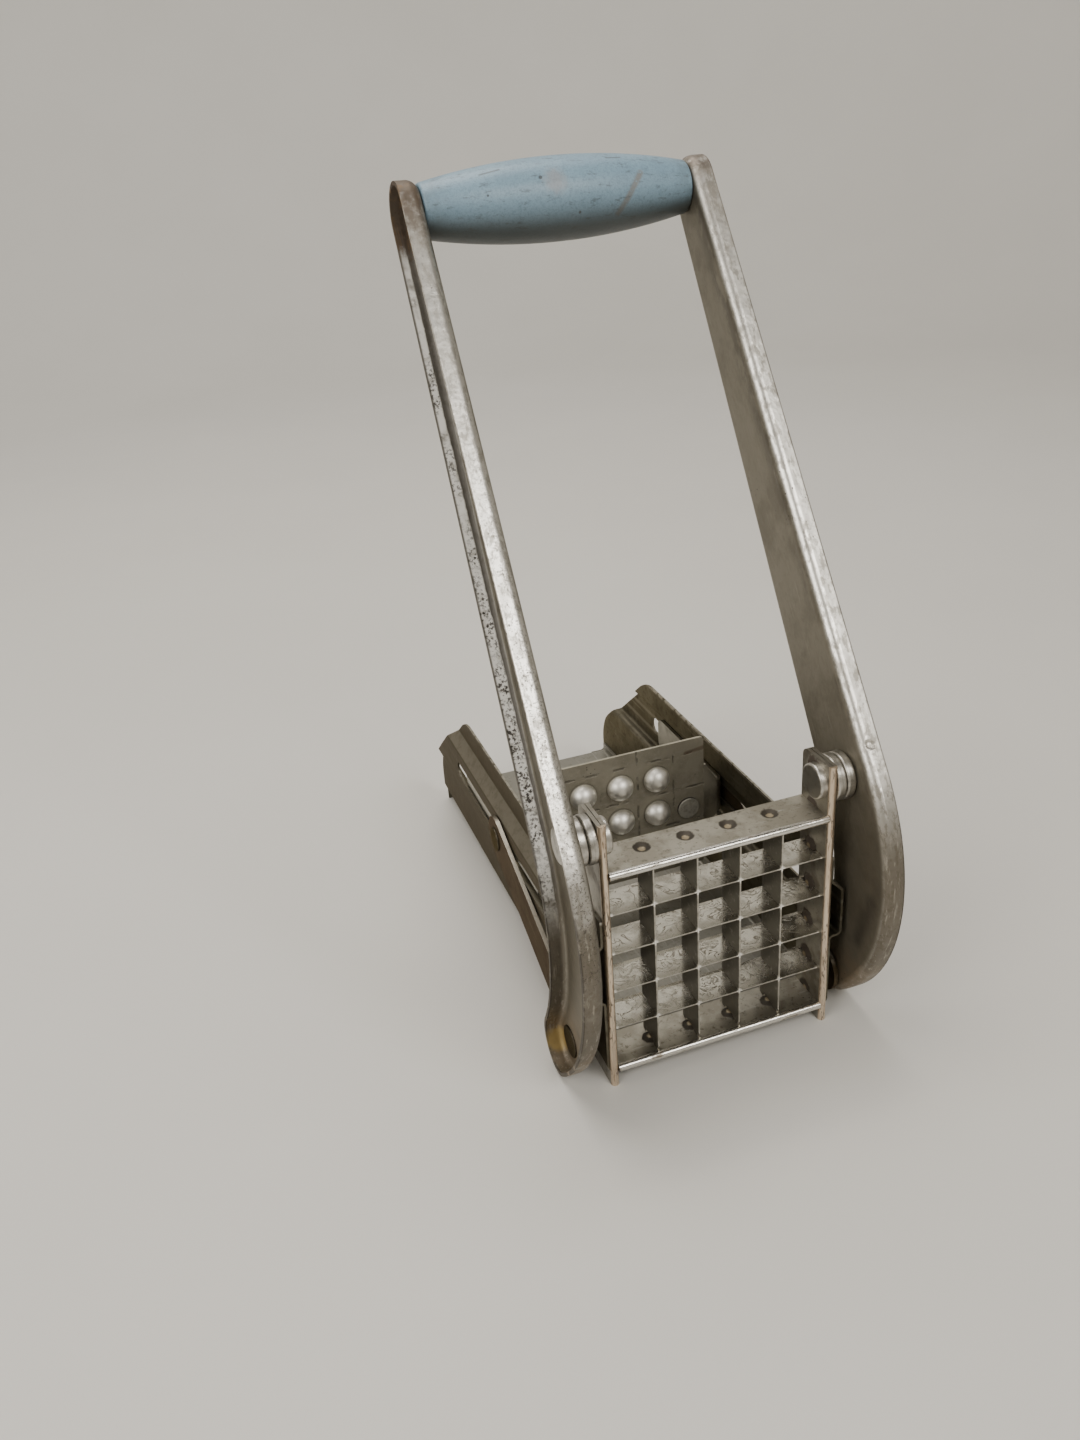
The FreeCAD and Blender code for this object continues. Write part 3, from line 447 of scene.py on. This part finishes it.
# Partly painted shade: the other upper lips are darkened as edge shade.
arm.layer(lip * (1.0 - shining) * (1.0 - low) * 0.85, (0.085, 0.075, 0.060), 0.55, 0.5)
arm.layer(lip * low * arm.noise(0.3, 4.0).rise(0.35, 0.50) * 0.8, (0.046, 0.038, 0.029), 0.60, 0.4)
handled = arm.z.rise(222.0, 250.0) * flange
arm.layer(handled * arm.noise(0.22, 5.0).rise(0.32, 0.62) * 0.6, (0.36, 0.325, 0.275), 0.42)
# The top of the left tray is darkened nearly to black, with an orange-brown streak.
tray_top = arm.spot((-47.0, 113.0, 249.0), 10.0, 17.0) * depth.rise(0.5, 1.0)
arm.layer(tray_top * 0.95, (0.050, 0.030, 0.016), 0.66, 0.2)
orange_streak = tray_top * arm.noise(0.5, 4.0, 0.6, straight).rise(0.50, 0.64)
arm.layer(orange_streak * 0.8, (0.20, 0.115, 0.045), 0.6, 0.2)
left_top = arm.spot((-46.5, 104.0, 250.0), 8.0, 20.0)
right_top = arm.spot((46.5, 107.0, 256.0), 6.0, 13.0)
worn_top = left_top.most(right_top) * flange
arm.layer(worn_top * arm.noise(0.35, 5.0).rise(0.26, 0.56) * 0.85, (0.125, 0.098, 0.074), 0.50, 0.6)
yellow_stain = arm.spot((-48.0, 17.9, 7.0), 2.6, 5.2)
arm.layer(yellow_stain * 0.8, (0.40, 0.285, 0.10), 0.55, 0.3)
arm.layer(arm.spot((-47.5, -12.9, 97.8), 0.9, 1.5), (0.13, 0.02, 0.012), 0.5, 0.0)
arm.layer(arm.spot((-47.5, 68.1, 170.6), 1.2, 1.8), (0.02, 0.018, 0.016), 0.6, 0.1)
# Painted reflection: a dark stroke on the right web stands for a dark thing mirrored there.
dark_reflection_stroke = arm.stroke((44.4, -12.5, 51.0), (44.4, -6.5, 33.0), 0.2, 4.5)
arm.layer(dark_reflection_stroke * 0.6, (0.070, 0.064, 0.052), 0.34)
dimple = arm.spot((47.5, -2.3, 100.0), 0.6, 2.0)
grain = arm.noise(1.6, 5.0) * 0.5 + arm.noise(0.2, 2.0) * 3.0
sunken = grain - pocks * 0.6 - holes * 1.5 - dimple * 8.0
arm.dress(both("lever_arm"), Normal=arm.relief(sunken, 0.05))

# %% [markdown]
# ## Links
# The links are plain bars in the shade under the arms. Their tin is mostly gone: what is left is a
# brown patina, with paler lines where the bar rubs along the trough. Metal mirrors the pale floor
# at a slant, which would hide the brown however dark the colour is. So the edge tint of the shader
# is lowered too. The pins and the lower rivets have darkened with the bars.

# %% Browned links
link = Finish("browned_tin", (0.078, 0.060, 0.036), 0.48, 0.65)
lengthwise = link.vector(link.x, link.y * 0.06 + link.z * 0.025, link.z * 1.2 - link.y * 0.49)
lines = link.noise(0.7, 4.0, 0.6, lengthwise).rise(0.52, 0.72)
link.layer(lines * 0.5, (0.165, 0.142, 0.105), 0.40)
link.layer(link.noise(0.15, 5.0).rise(0.45, 0.68) * 0.7, (0.058, 0.043, 0.026), 0.54)
# Painted highlight: the upper edges of the bars are paler, as if catching the light.
upper_edge_highlight = link.facing_z.rise(0.5, 0.8) * link.noise(0.2, 4.0).rise(0.25, 0.5)
link.layer(upper_edge_highlight, (0.34, 0.315, 0.265), 0.40, 1.0)
link.layer(link.pits(0.5, 0.12, 0.12), (0.04, 0.028, 0.02), 0.65, 0.2)
link.dress(both("link"), Normal=link.relief(link.noise(1.2, 5.0), 0.04),
           Specular_Tint=(0.40, 0.32, 0.21))

# %% Darkened slide pins and lower rivets
stub = Finish("darkened_rivet", (0.105, 0.093, 0.070), 0.46)
stub.layer(stub.noise(0.5, 5.0).rise(0.45, 0.68) * 0.8, (0.085, 0.072, 0.052), 0.54)
stub.layer(stub.noise(1.6, 4.0).rise(0.58, 0.72) * 0.5, (0.22, 0.20, 0.165), 0.38)
stub.dress([*both("slide_pin"), *both("link_rivet")],
           Normal=stub.relief(stub.noise(1.4, 4.0), 0.04), Specular_Tint=(0.42, 0.38, 0.30))

# %% [markdown]
# ## Folded side plates
# The side plates are sheet folded double, so the front shows a rounded hem. The tin is rubbed off
# along it, and the bare steel has a warm, rusty tone with long dark cracks. The pips pressed
# between the knives are darkened round their rims, with a paler golden centre. Each pip could get
# its own mask, but they repeat at the pitch of the grid. So one distance, wrapped at that pitch,
# finds them all.

# %% Side plates with a bare hem
PITCH = 14.0
HALF_PITCH = PITCH / 2
lowest_point, highest_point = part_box("vertical_blade_1")
GRID_MIDDLE = (lowest_point.z + highest_point.z) / 2 / MM
SIDE_PIP_Y = 7.5
INNER_FACE_X = 35.4
plate = Finish("folded_plate", (0.36, 0.34, 0.295), 0.38)
plate.layer(plate.noise(0.14, 5.0).rise(0.42, 0.66), (0.22, 0.20, 0.165), 0.46)
plate.layer(plate.noise(0.8, 5.0, 0.65).rise(0.55, 0.72) * 0.7, (0.15, 0.135, 0.11), 0.5)
hem = plate.y.rise(-0.5, -1.2)
upright = plate.vector(plate.x, plate.y, plate.z * 0.12)
plate.layer(hem, (0.78, 0.655, 0.515), 0.36)
warm_streak = plate.noise(0.25, 4.0, 0.6, upright).rise(0.42, 0.62)
plate.layer(hem * warm_streak * 0.6, (0.54, 0.43, 0.32), 0.44)
dark_streak = plate.noise(1.0, 5.0, 0.7, upright).rise(0.54, 0.64)
plate.layer(hem * dark_streak * 0.8, (0.30, 0.205, 0.13), 0.54)
crack = abs(plate.noise(0.55, 3.0, 0.6, upright) - 0.5).rise(0.022, 0.006)
cracked = hem * crack * plate.noise(0.1, 2.0).rise(0.42, 0.55)
plate.layer(cracked * 0.9, (0.06, 0.042, 0.03), 0.65, 0.3)
pip_back = plate.y - SIDE_PIP_Y
pip_high = (plate.z - GRID_MIDDLE + HALF_PITCH).wrapped(PITCH)
ring = (pip_high * pip_high + pip_back * pip_back).power(0.5)
inside = (abs(plate.x) - INNER_FACE_X).rise(0.2, -0.2)
# Darker round each pip's rim, with a paler golden centre below.
pip_rim_dark = (ring + (plate.noise(0.7) - 0.5) * 2.2).rise(3.9, 2.8) * inside
plate.layer(pip_rim_dark * 0.9, (0.050, 0.034, 0.022), 0.7, 0.2)
plate.layer(ring.rise(1.4, 0.5) * inside, (0.36, 0.28, 0.17), 0.40)
plate.layer(plate.pits(0.5, 0.10, 0.12), (0.05, 0.04, 0.03), 0.6, 0.3)
knocks = plate.noise(0.9, 5.0) + plate.noise(0.2, 2.0) * 2.0 + hem * plate.noise(0.12, 2.0) * 6.0
plate.dress(both("side_plate"), Normal=plate.relief(knocks, 0.05))

# %% [markdown]
# ## Top and bottom plate
# Both plates have a rolled front bead, rubbed bright, and four pips pressed towards the knives.
# Water has left grey stains on them. Each pip is painted with a dark ring of shade round its recess
# and a pale golden highlight at its centre. The rings are found as on the side plates, but the
# upper pips sit a little further back, so their row shifts with height.

# %% Stained cross plates
BOTTOM_PIP_Y, TOP_PIP_SHIFT = 6.5, 1.7
cross = Finish("stained_plate", (0.48, 0.455, 0.39), 0.38)
cross.layer(cross.noise(0.11, 5.0, 0.6).rise(0.40, 0.62), (0.335, 0.312, 0.258), 0.46)
cross.layer(cross.noise(0.5, 6.0, 0.7).rise(0.52, 0.68) * 0.85, (0.185, 0.170, 0.138), 0.52)
sideways = cross.vector(cross.x * 0.22, cross.y, cross.z)
pale_streak = cross.noise(0.45, 5.0, 0.6, sideways).rise(0.58, 0.72)
cross.layer(pale_streak * 0.6, (0.60, 0.58, 0.53), 0.32)
bead = cross.y.rise(-0.3, -0.9)
cross.layer(bead, (0.70, 0.68, 0.63), 0.24)
bare_bead = bead * cross.noise(0.6, 5.0, 0.65, sideways).rise(0.54, 0.64)
cross.layer(bare_bead * 0.85, (0.20, 0.165, 0.12), 0.5)
pip_x = abs((cross.x + HALF_PITCH).wrapped(PITCH))
pip_y = cross.y - BOTTOM_PIP_Y - cross.z.rise(30.0, 50.0) * TOP_PIP_SHIFT
reach = (pip_x * pip_x + pip_y * pip_y).power(0.5)
row = abs(cross.x).rise(26.0, 25.0)
# Painted shade: a dark ring round each pip's recess.
pip_recess_shade = (reach + (cross.noise(0.8) - 0.5) * 0.9).rise(3.0, 2.4) * row
cross.layer(pip_recess_shade * 0.95, (0.042, 0.034, 0.024), 0.6, 0.5)
# Painted highlight: a pale golden spot at each pip's centre.
centre = (reach + (cross.noise(1.1) - 0.5) * 0.9).rise(1.4, 0.7) * row
cross.layer(centre, (0.36, 0.295, 0.19), 0.28)
cross.layer(cross.pits(0.45, 0.12, 0.14), (0.045, 0.038, 0.03), 0.6, 0.3)
cross.dress(["top_plate", "bottom_plate"],
            Normal=cross.relief(cross.noise(0.8, 5.0) + cross.noise(0.15, 2.0) * 3.0, 0.05))

# %% [markdown]
# ## Trough
# Walls and floor are thinner sheet and the dullest metal of the chipper: olive grey with smeared
# starch and grease. The floor is scrubbed paler, and the pusher has rubbed the rims. The slot edges
# are paler, partly rubbed by the pusher and partly a painted highlight. The outer faces are painted
# dark brown as shade, below a shoulder that faces up and keeps a paler tone. A wall's two faces
# share one mesh, so the side is told by the direction that the face looks in.

# %% Dull trough walls
RIM_Z = 61.8
SLOT_Z, SLOT_HALF = 41.5, 3.3
CHANNEL_X = 41.9
wall = Finish("dull_wall", (0.175, 0.162, 0.126), 0.46)
backward = wall.vector(wall.x, wall.y * 0.08, wall.z)
wall.layer(wall.noise(0.06, 5.0, 0.6).rise(0.40, 0.64), (0.128, 0.116, 0.086), 0.54)
wall.layer(wall.noise(0.4, 6.0, 0.7).rise(0.50, 0.70) * 0.7, (0.080, 0.070, 0.050), 0.58)
wall.layer(wall.noise(0.6, 4.0, 0.6, backward).rise(0.58, 0.74) * 0.6, (0.25, 0.235, 0.195), 0.38)
rim = wall.z.rise(RIM_Z - 1.0, RIM_Z)
wall.layer(rim * wall.noise(0.4, 3.0).rise(0.30, 0.55), (0.42, 0.40, 0.35), 0.34)
slot_edge = abs(abs(wall.z - SLOT_Z) - SLOT_HALF).rise(1.2, 0.3)
# Partly painted highlight: the slot edges are paler, rubbed by the pusher and brightened as lit cut
# edges.
slot_rub_and_highlight = slot_edge * abs(wall.x).rise(CHANNEL_X - 0.5, CHANNEL_X)
wall.layer(slot_rub_and_highlight * 0.45, (0.34, 0.32, 0.27), 0.36)
outside = wall.facing_x * wall.x
# Painted shade: the outer faces are darkened brown as shade; the shoulder that faces up keeps a
# paler tone.
wall.layer(outside.rise(10.0, 34.0) * 0.9, (0.052, 0.041, 0.025), 0.58, 0.45)
shoulder = outside.rise(8.0, 16.0) * wall.facing_z.rise(0.35, 0.60)
wall.layer(shoulder * 0.75, (0.172, 0.158, 0.124), 0.50, 0.45)
dirty = shoulder * wall.noise(0.3, 6.0, 0.7).rise(0.46, 0.62)
wall.layer(dirty * 0.6, (0.105, 0.093, 0.068), 0.55)
wall.layer(wall.pits(0.4, 0.11, 0.12), (0.04, 0.033, 0.025), 0.62, 0.3)
wall.dress(both("side_wall"),
           Normal=wall.relief(wall.noise(0.7, 5.0) + wall.noise(0.12, 2.0) * 3.0, 0.06),
           Specular_Tint=(0.55, 0.50, 0.40))

# %% Scrubbed trough floor
bed = Finish("scrubbed_floor", (0.31, 0.30, 0.265), 0.42)
rubbed = bed.vector(bed.x, bed.y * 0.07, bed.z)
bed.layer(bed.noise(0.05, 5.0, 0.6).rise(0.42, 0.62), (0.27, 0.26, 0.225), 0.48)
bed.layer(bed.noise(0.5, 6.0, 0.7).rise(0.52, 0.70) * 0.7, (0.19, 0.18, 0.15), 0.54)
bed.layer(bed.noise(0.7, 4.0, 0.6, rubbed).rise(0.56, 0.72) * 0.5, (0.46, 0.45, 0.41), 0.36)
bed.layer(bed.pits(0.4, 0.11, 0.12), (0.05, 0.04, 0.03), 0.62, 0.3)
bed.dress(["floor_plate"],
          Normal=bed.relief(bed.noise(0.7, 5.0) + bed.noise(0.12, 2.0) * 3.0, 0.06))

# %% [markdown]
# ## Pusher
# The pusher plate carries nine pressed domes, polished by years of potatoes, on a dull plate. Each
# time it met the knives they scored it, so broken dark lines repeat the knife grid between the
# domes. Lines could be cut into the mesh, but they are hair-thin. So the wrapped distance draws
# them, and relief sinks them a little. The carriage behind the plate is plain dull sheet.

# %% Dull pusher plate with polished domes
PUSHER_Y = 76.8
pusher = Finish("scored_plate", (0.44, 0.41, 0.325), 0.50, 0.55)
pusher.layer(pusher.noise(0.12, 5.0, 0.6).rise(0.42, 0.64), (0.34, 0.315, 0.245), 0.54)
pusher.layer(pusher.noise(0.7, 6.0, 0.7).rise(0.52, 0.70) * 0.6, (0.52, 0.49, 0.40), 0.46)
dome = pusher.y.rise(PUSHER_Y - 0.2, PUSHER_Y - 1.0)
pusher.layer(dome, (0.86, 0.84, 0.78), 0.46, 1.0)
dulled = dome * pusher.noise(1.2, 5.0, 0.6).rise(0.56, 0.74)
pusher.layer(dulled * 0.3, (0.50, 0.475, 0.42), 0.42)
pusher.tell("with domes")

# %% Knife scores on the pusher plate
RUB_OFFSET = 5.9
face = (1.0 - dome) * pusher.y.rise(PUSHER_Y + 0.6, PUSHER_Y + 0.2)
high = pusher.z - GRID_MIDDLE
wide = pusher.x + (pusher.noise(0.15, 2.0) - 0.5) * 0.8
slit_z = abs((high + HALF_PITCH).wrapped(PITCH)).rise(0.60, 0.25)
slit_z = slit_z * pusher.noise(0.16, 4.0).rise(0.47, 0.60)
slit_x = abs((wide + HALF_PITCH).wrapped(PITCH)).rise(0.50, 0.20)
slit_x = slit_x * pusher.noise(0.2, 3.0).rise(0.48, 0.62)
slits = slit_z.most(slit_x) * face
pusher.layer(slits * 0.65, (0.070, 0.060, 0.045), 0.6, 0.4)
rub = abs((high + RUB_OFFSET).wrapped(PITCH)).rise(0.9, 0.3) * face
rub = rub * pusher.noise(0.3, 3.0).rise(0.45, 0.6)
pusher.layer(rub * 0.5, (0.46, 0.44, 0.375), 0.38)
rust_line = pusher.stroke((26.0, PUSHER_Y, 63.2), (33.0, PUSHER_Y, 64.0), 0.3, 1.2)
pusher.layer(rust_line * 0.8, (0.12, 0.07, 0.035), 0.6, 0.2)
# Painted shade: a dark ring at the foot of each dome, where it meets the plate.
near_face = pusher.y.rise(PUSHER_Y + 0.15, PUSHER_Y - 0.1)
foot = near_face * pusher.y.rise(PUSHER_Y - 1.2, PUSHER_Y - 0.4)
pusher.layer(foot * 0.7, (0.09, 0.08, 0.06), 0.55)
pusher.layer((1.0 - dome) * pusher.pits(0.45, 0.10, 0.12), (0.05, 0.042, 0.032), 0.6, 0.3)
dented = pusher.noise(0.9, 5.0) + pusher.noise(0.2, 2.0) * 2.0
scored = dented * (1.0 - dome * 0.8) - slits * 6.0
pusher.dress(["pusher_plate"], Normal=pusher.relief(scored, 0.05))

# %% Dull carriage and its rivets
WING_X = 41.4
carriage = Finish("dull_carriage", (0.42, 0.40, 0.34), 0.44)
carriage.layer(carriage.noise(0.1, 5.0, 0.6).rise(0.42, 0.64), (0.28, 0.265, 0.22), 0.50)
carriage.layer(carriage.noise(0.6, 6.0, 0.7).rise(0.55, 0.72) * 0.6, (0.44, 0.42, 0.36), 0.40)
slid = carriage.vector(0.0, carriage.y * 0.05, carriage.z)
wing = abs(carriage.x).rise(WING_X - 0.5, WING_X)
carriage.layer(wing * carriage.noise(0.5, 3.0, 0.5, slid), (0.5, 0.48, 0.43), 0.3)
carriage.dress(["pusher_carriage"], Normal=carriage.relief(carriage.noise(0.8, 5.0), 0.05))

flat = Finish("flat_rivet", (0.36, 0.345, 0.30), 0.46, 0.55)
flat.layer(flat.noise(0.6, 5.0).rise(0.45, 0.66), (0.26, 0.25, 0.215), 0.52)
# Painted shade: the side of each rivet head next to the plate is darkened.
flat.layer(flat.y.rise(PUSHER_Y - 0.85, PUSHER_Y - 0.55), (0.05, 0.045, 0.038), 0.6)
flat.layer(flat.pits(0.8, 0.12, 0.14), (0.05, 0.045, 0.04), 0.6, 0.3)
flat.dress(both("pusher_rivet"), Normal=flat.relief(flat.noise(1.5, 4.0), 0.04))

# %% [markdown]
# ## Knives
# The knife strips are thin hard steel. Acid from potatoes has etched their level faces to a pale,
# wrinkled bloom. Under it the level faces are also painted paler, as lit from above, and the
# upright faces, which stay smooth, are painted dark as shaded flanks. The front edges and the lap
# joints, touched on every wash, are brighter. Two materials could tell level from upright strips,
# but every strip has both kinds of face. So the direction of the face decides.

# %% Etched knife strips
knife = Finish("etched_steel", (0.30, 0.285, 0.245), 0.34)
level = abs(knife.facing_z).rise(0.6, 0.9)
flank = abs(knife.facing_x).rise(0.6, 0.9)
# Painted shade: the upright faces are darkened as shaded flanks.
knife.layer(flank, (0.130, 0.120, 0.093), 0.46, 0.5)
shade = knife.noise(0.12, 5.0, 0.6).rise(0.42, 0.66)
knife.layer(flank * shade * 0.7, (0.105, 0.096, 0.074), 0.46)
gleam = knife.noise(0.5, 5.0, 0.6).rise(0.56, 0.74)
knife.layer(flank * gleam * 0.5, (0.30, 0.285, 0.24), 0.28)
bloom = knife.noise(0.16, 4.0, 0.6).rise(0.30, 0.58) * knife.y.rise(0.5, 5.0)
# Partly painted light: the level faces are paler as lit from above; the bloom laid over them is
# etched residue.
knife.layer(level, (0.42, 0.40, 0.345), 0.20)
knife.layer(level * bloom * 0.9, (0.80, 0.775, 0.70), 0.25)
fleck = knife.noise(0.7, 6.0, 0.7).rise(0.50, 0.64)
knife.layer(level * fleck * 0.4, (0.40, 0.375, 0.31), 0.32)
wrinkle = abs(knife.noise(0.15, 3.0, 0.6, None, 1.5) - 0.5).rise(0.032, 0.010)
knife.layer(level * wrinkle * bloom * 0.75, (0.19, 0.165, 0.125), 0.56)
front = knife.y.rise(0.4, 0.1)
knife.layer(front * knife.noise(0.5, 3.0).rise(0.25, 0.6), (0.46, 0.44, 0.39), 0.28)
to_upright = abs((knife.x + HALF_PITCH).wrapped(PITCH))
to_level = abs((knife.z - GRID_MIDDLE + HALF_PITCH).wrapped(PITCH))
crossing = to_upright.most(to_level).rise(1.3, 0.5) * knife.y.rise(1.0, 0.4)
knife.layer(crossing, (0.96, 0.94, 0.88), 0.22, 1.0)
knife.layer(knife.pits(0.5, 0.10, 0.14), (0.06, 0.05, 0.04), 0.6, 0.3)
strips = [f"{way}_blade_{number}" for way in ("vertical", "horizontal") for number in range(1, 5)]
etched = knife.noise(0.8, 5.0) + level * (bloom - wrinkle) * 1.5
knife.dress(strips, Normal=knife.relief(etched, 0.012))

# %% [markdown]
# ## Rivets and washers
# Pivot rivets, washers and the tie rod are turned from bright steel, now worn and rather dull.
# Turning marks run round them, and dirt settles in the gaps. Anisotropic gloss could show turning
# marks, but it is not used. Anisotropic gloss could show turning marks, but the export doesn't
# bake it. So noise over the distance from the pivot draws rings.

# %% Worn turned steel
HEAD_X = 34.0
bright = Finish("bright_steel", (0.52, 0.50, 0.455), 0.34)
radial_y, radial_z = bright.y - PIVOT_Y, bright.z - PIVOT_Z
radius = (radial_y * radial_y + radial_z * radial_z).power(0.5)
rings = bright.noise(1.0, 3.0, 0.6, bright.vector(radius * 2.2, bright.x * 2.0, 0.0))
bright.layer(rings.rise(0.48, 0.70) * 0.6, (0.33, 0.315, 0.28), 0.40)
bright.layer(bright.noise(0.35, 5.0, 0.6).rise(0.44, 0.66) * 0.75, (0.23, 0.215, 0.185), 0.44)
bright.layer(bright.noise(1.5, 4.0, 0.7).rise(0.60, 0.72) * 0.6, (0.16, 0.14, 0.11), 0.5)
head = abs(bright.facing_x).rise(0.85, 0.97) * abs(bright.x).rise(HEAD_X, HEAD_X - 0.6)
bright.layer(head, (0.27, 0.258, 0.232), 0.36)
bright.layer(head * bright.noise(0.5, 5.0).rise(0.50, 0.70) * 0.6, (0.19, 0.178, 0.154), 0.42)
bright.layer(bright.pits(0.8, 0.12, 0.12), (0.05, 0.042, 0.035), 0.6, 0.3)
turned = [name for kind in ("pivot_rivet", "inner_washer", "outer_washer") for name in both(kind)]
bright.dress([*turned, "tie_rod"],
             Normal=bright.relief(rings * 1.5 + bright.noise(1.5, 4.0), 0.025))

# %% [markdown]
# ## Grip
# The grip is a turned wooden barrel under satin blue-grey paint. It is mottled from use, chipped to
# dark wood in small spots, and one long scratch runs slantwise near the right end. The marks could
# be painted on a picture, but a finish of nodes uses none. So they are placed by the distance along
# the barrel and the arc round it, counted from the front upwards.

# %% Mottled paint on the grip
GRIP_Y, GRIP_Z = 108.0, 246.5
GRIP_RADIUS, GRIP_END = 11.0, 42.5
paint = Finish("blue_grey_paint", (0.215, 0.334, 0.428), 0.42, 0.0)
overhead, ahead = paint.z - GRIP_Z, GRIP_Y - paint.y
arc = overhead.math("ARCTAN2", overhead, ahead) * GRIP_RADIUS
skin = paint.vector(paint.x, arc, 0.0)
paint.layer(paint.noise(0.05, 4.0).rise(0.38, 0.66) * 0.7, (0.172, 0.274, 0.358), 0.48)
turning = paint.vector(paint.x * 1.6, arc * 0.05, 0.0)
brushed = paint.noise(0.8, 3.0, 0.6, turning).rise(0.55, 0.75)
paint.layer(brushed * 0.35, (0.26, 0.385, 0.475), 0.40)
paint.layer(paint.noise(0.9, 6.0, 0.7).rise(0.50, 0.68) * 0.7, (0.145, 0.235, 0.302), 0.52)
paint.layer(paint.noise(1.9, 4.0, 0.7).rise(0.45, 0.66) * 0.5, (0.130, 0.208, 0.266), 0.52)
dark_end = abs(paint.x).rise(33.0, GRIP_END) * paint.noise(0.3, 4.0).rise(0.3, 0.6)
paint.layer(dark_end * 0.5, (0.12, 0.165, 0.19), 0.5)
paint.tell("with mottling")

# %% Scratches, chips and shade on the grip
CHIPS = ((-7.7, 6.6, 0.7), (3.5, -3.3, 0.5), (-24.2, 3.3, 0.45))
paint.layer(paint.spot((-3.4, 5.5, 0.0), 1.0, 5.0, skin) * 0.5, (0.30, 0.27, 0.26), 0.46)
scratch = paint.stroke((24.4, 6.0, 0.0), (16.2, -5.0, 0.0), 0.30, 1.45, skin)
scratch = scratch * paint.noise(0.7, 5.0, 0.7).rise(0.22, 0.50)
paint.layer(scratch * 0.75, (0.19, 0.175, 0.155), 0.55)
dashes = paint.stroke((15.0, 12.0, 0.0), (19.5, 12.2, 0.0), 0.1, 0.5, skin)
dashes = dashes.most(paint.stroke((-25.0, 10.5, 0.0), (-19.0, 11.2, 0.0), 0.1, 0.6, skin))
scuffs = paint.noise(0.5, 6.0, 0.75, paint.vector(paint.x * 0.35, arc, 0.0)).rise(0.545, 0.64)
paint.layer(dashes.most(scuffs * 0.8) * 0.8, (0.085, 0.110, 0.125), 0.55)
chips = paint.pits(0.30, 0.05, 0.06, 0.06)
for chip_x, chip_arc, size in CHIPS:
    chips = chips.most(paint.spot((chip_x, chip_arc, 0.0), size * 0.5, size, skin))
paint.layer(chips * 0.85, (0.055, 0.062, 0.066), 0.6)
# Painted shade: the underside of the grip is darkened.
paint.layer(paint.facing_z.rise(0.25, -0.70) * 0.92, (0.034, 0.037, 0.032), 0.54)
bumpy = paint.noise(0.5, 5.0) * 1.2 + paint.noise(1.3, 4.0, 0.65) * 1.2
worn = bumpy + paint.noise(0.06, 2.0) * 4.0 - chips * 2.0 - scratch
paint.dress(["grip"], Normal=paint.relief(worn, 0.05), Coat_Weight=0.10, Coat_Roughness=0.25)

# %% [markdown]
# ## Floor finish
# The cove is matt pale card. One flat colour would look like nothing at all, so wide, faint clouds
# vary its tone, too soft to draw the eye from the chipper.

# %% Pale matt card
table = Finish("pale_table", (0.66, 0.645, 0.61), 0.62, 0.0)
table.layer(table.noise(0.006, 3.0).rise(0.3, 0.7) * 0.4, (0.62, 0.605, 0.57), 0.66)
table.dress([])
floor.data.materials.append(table.material)
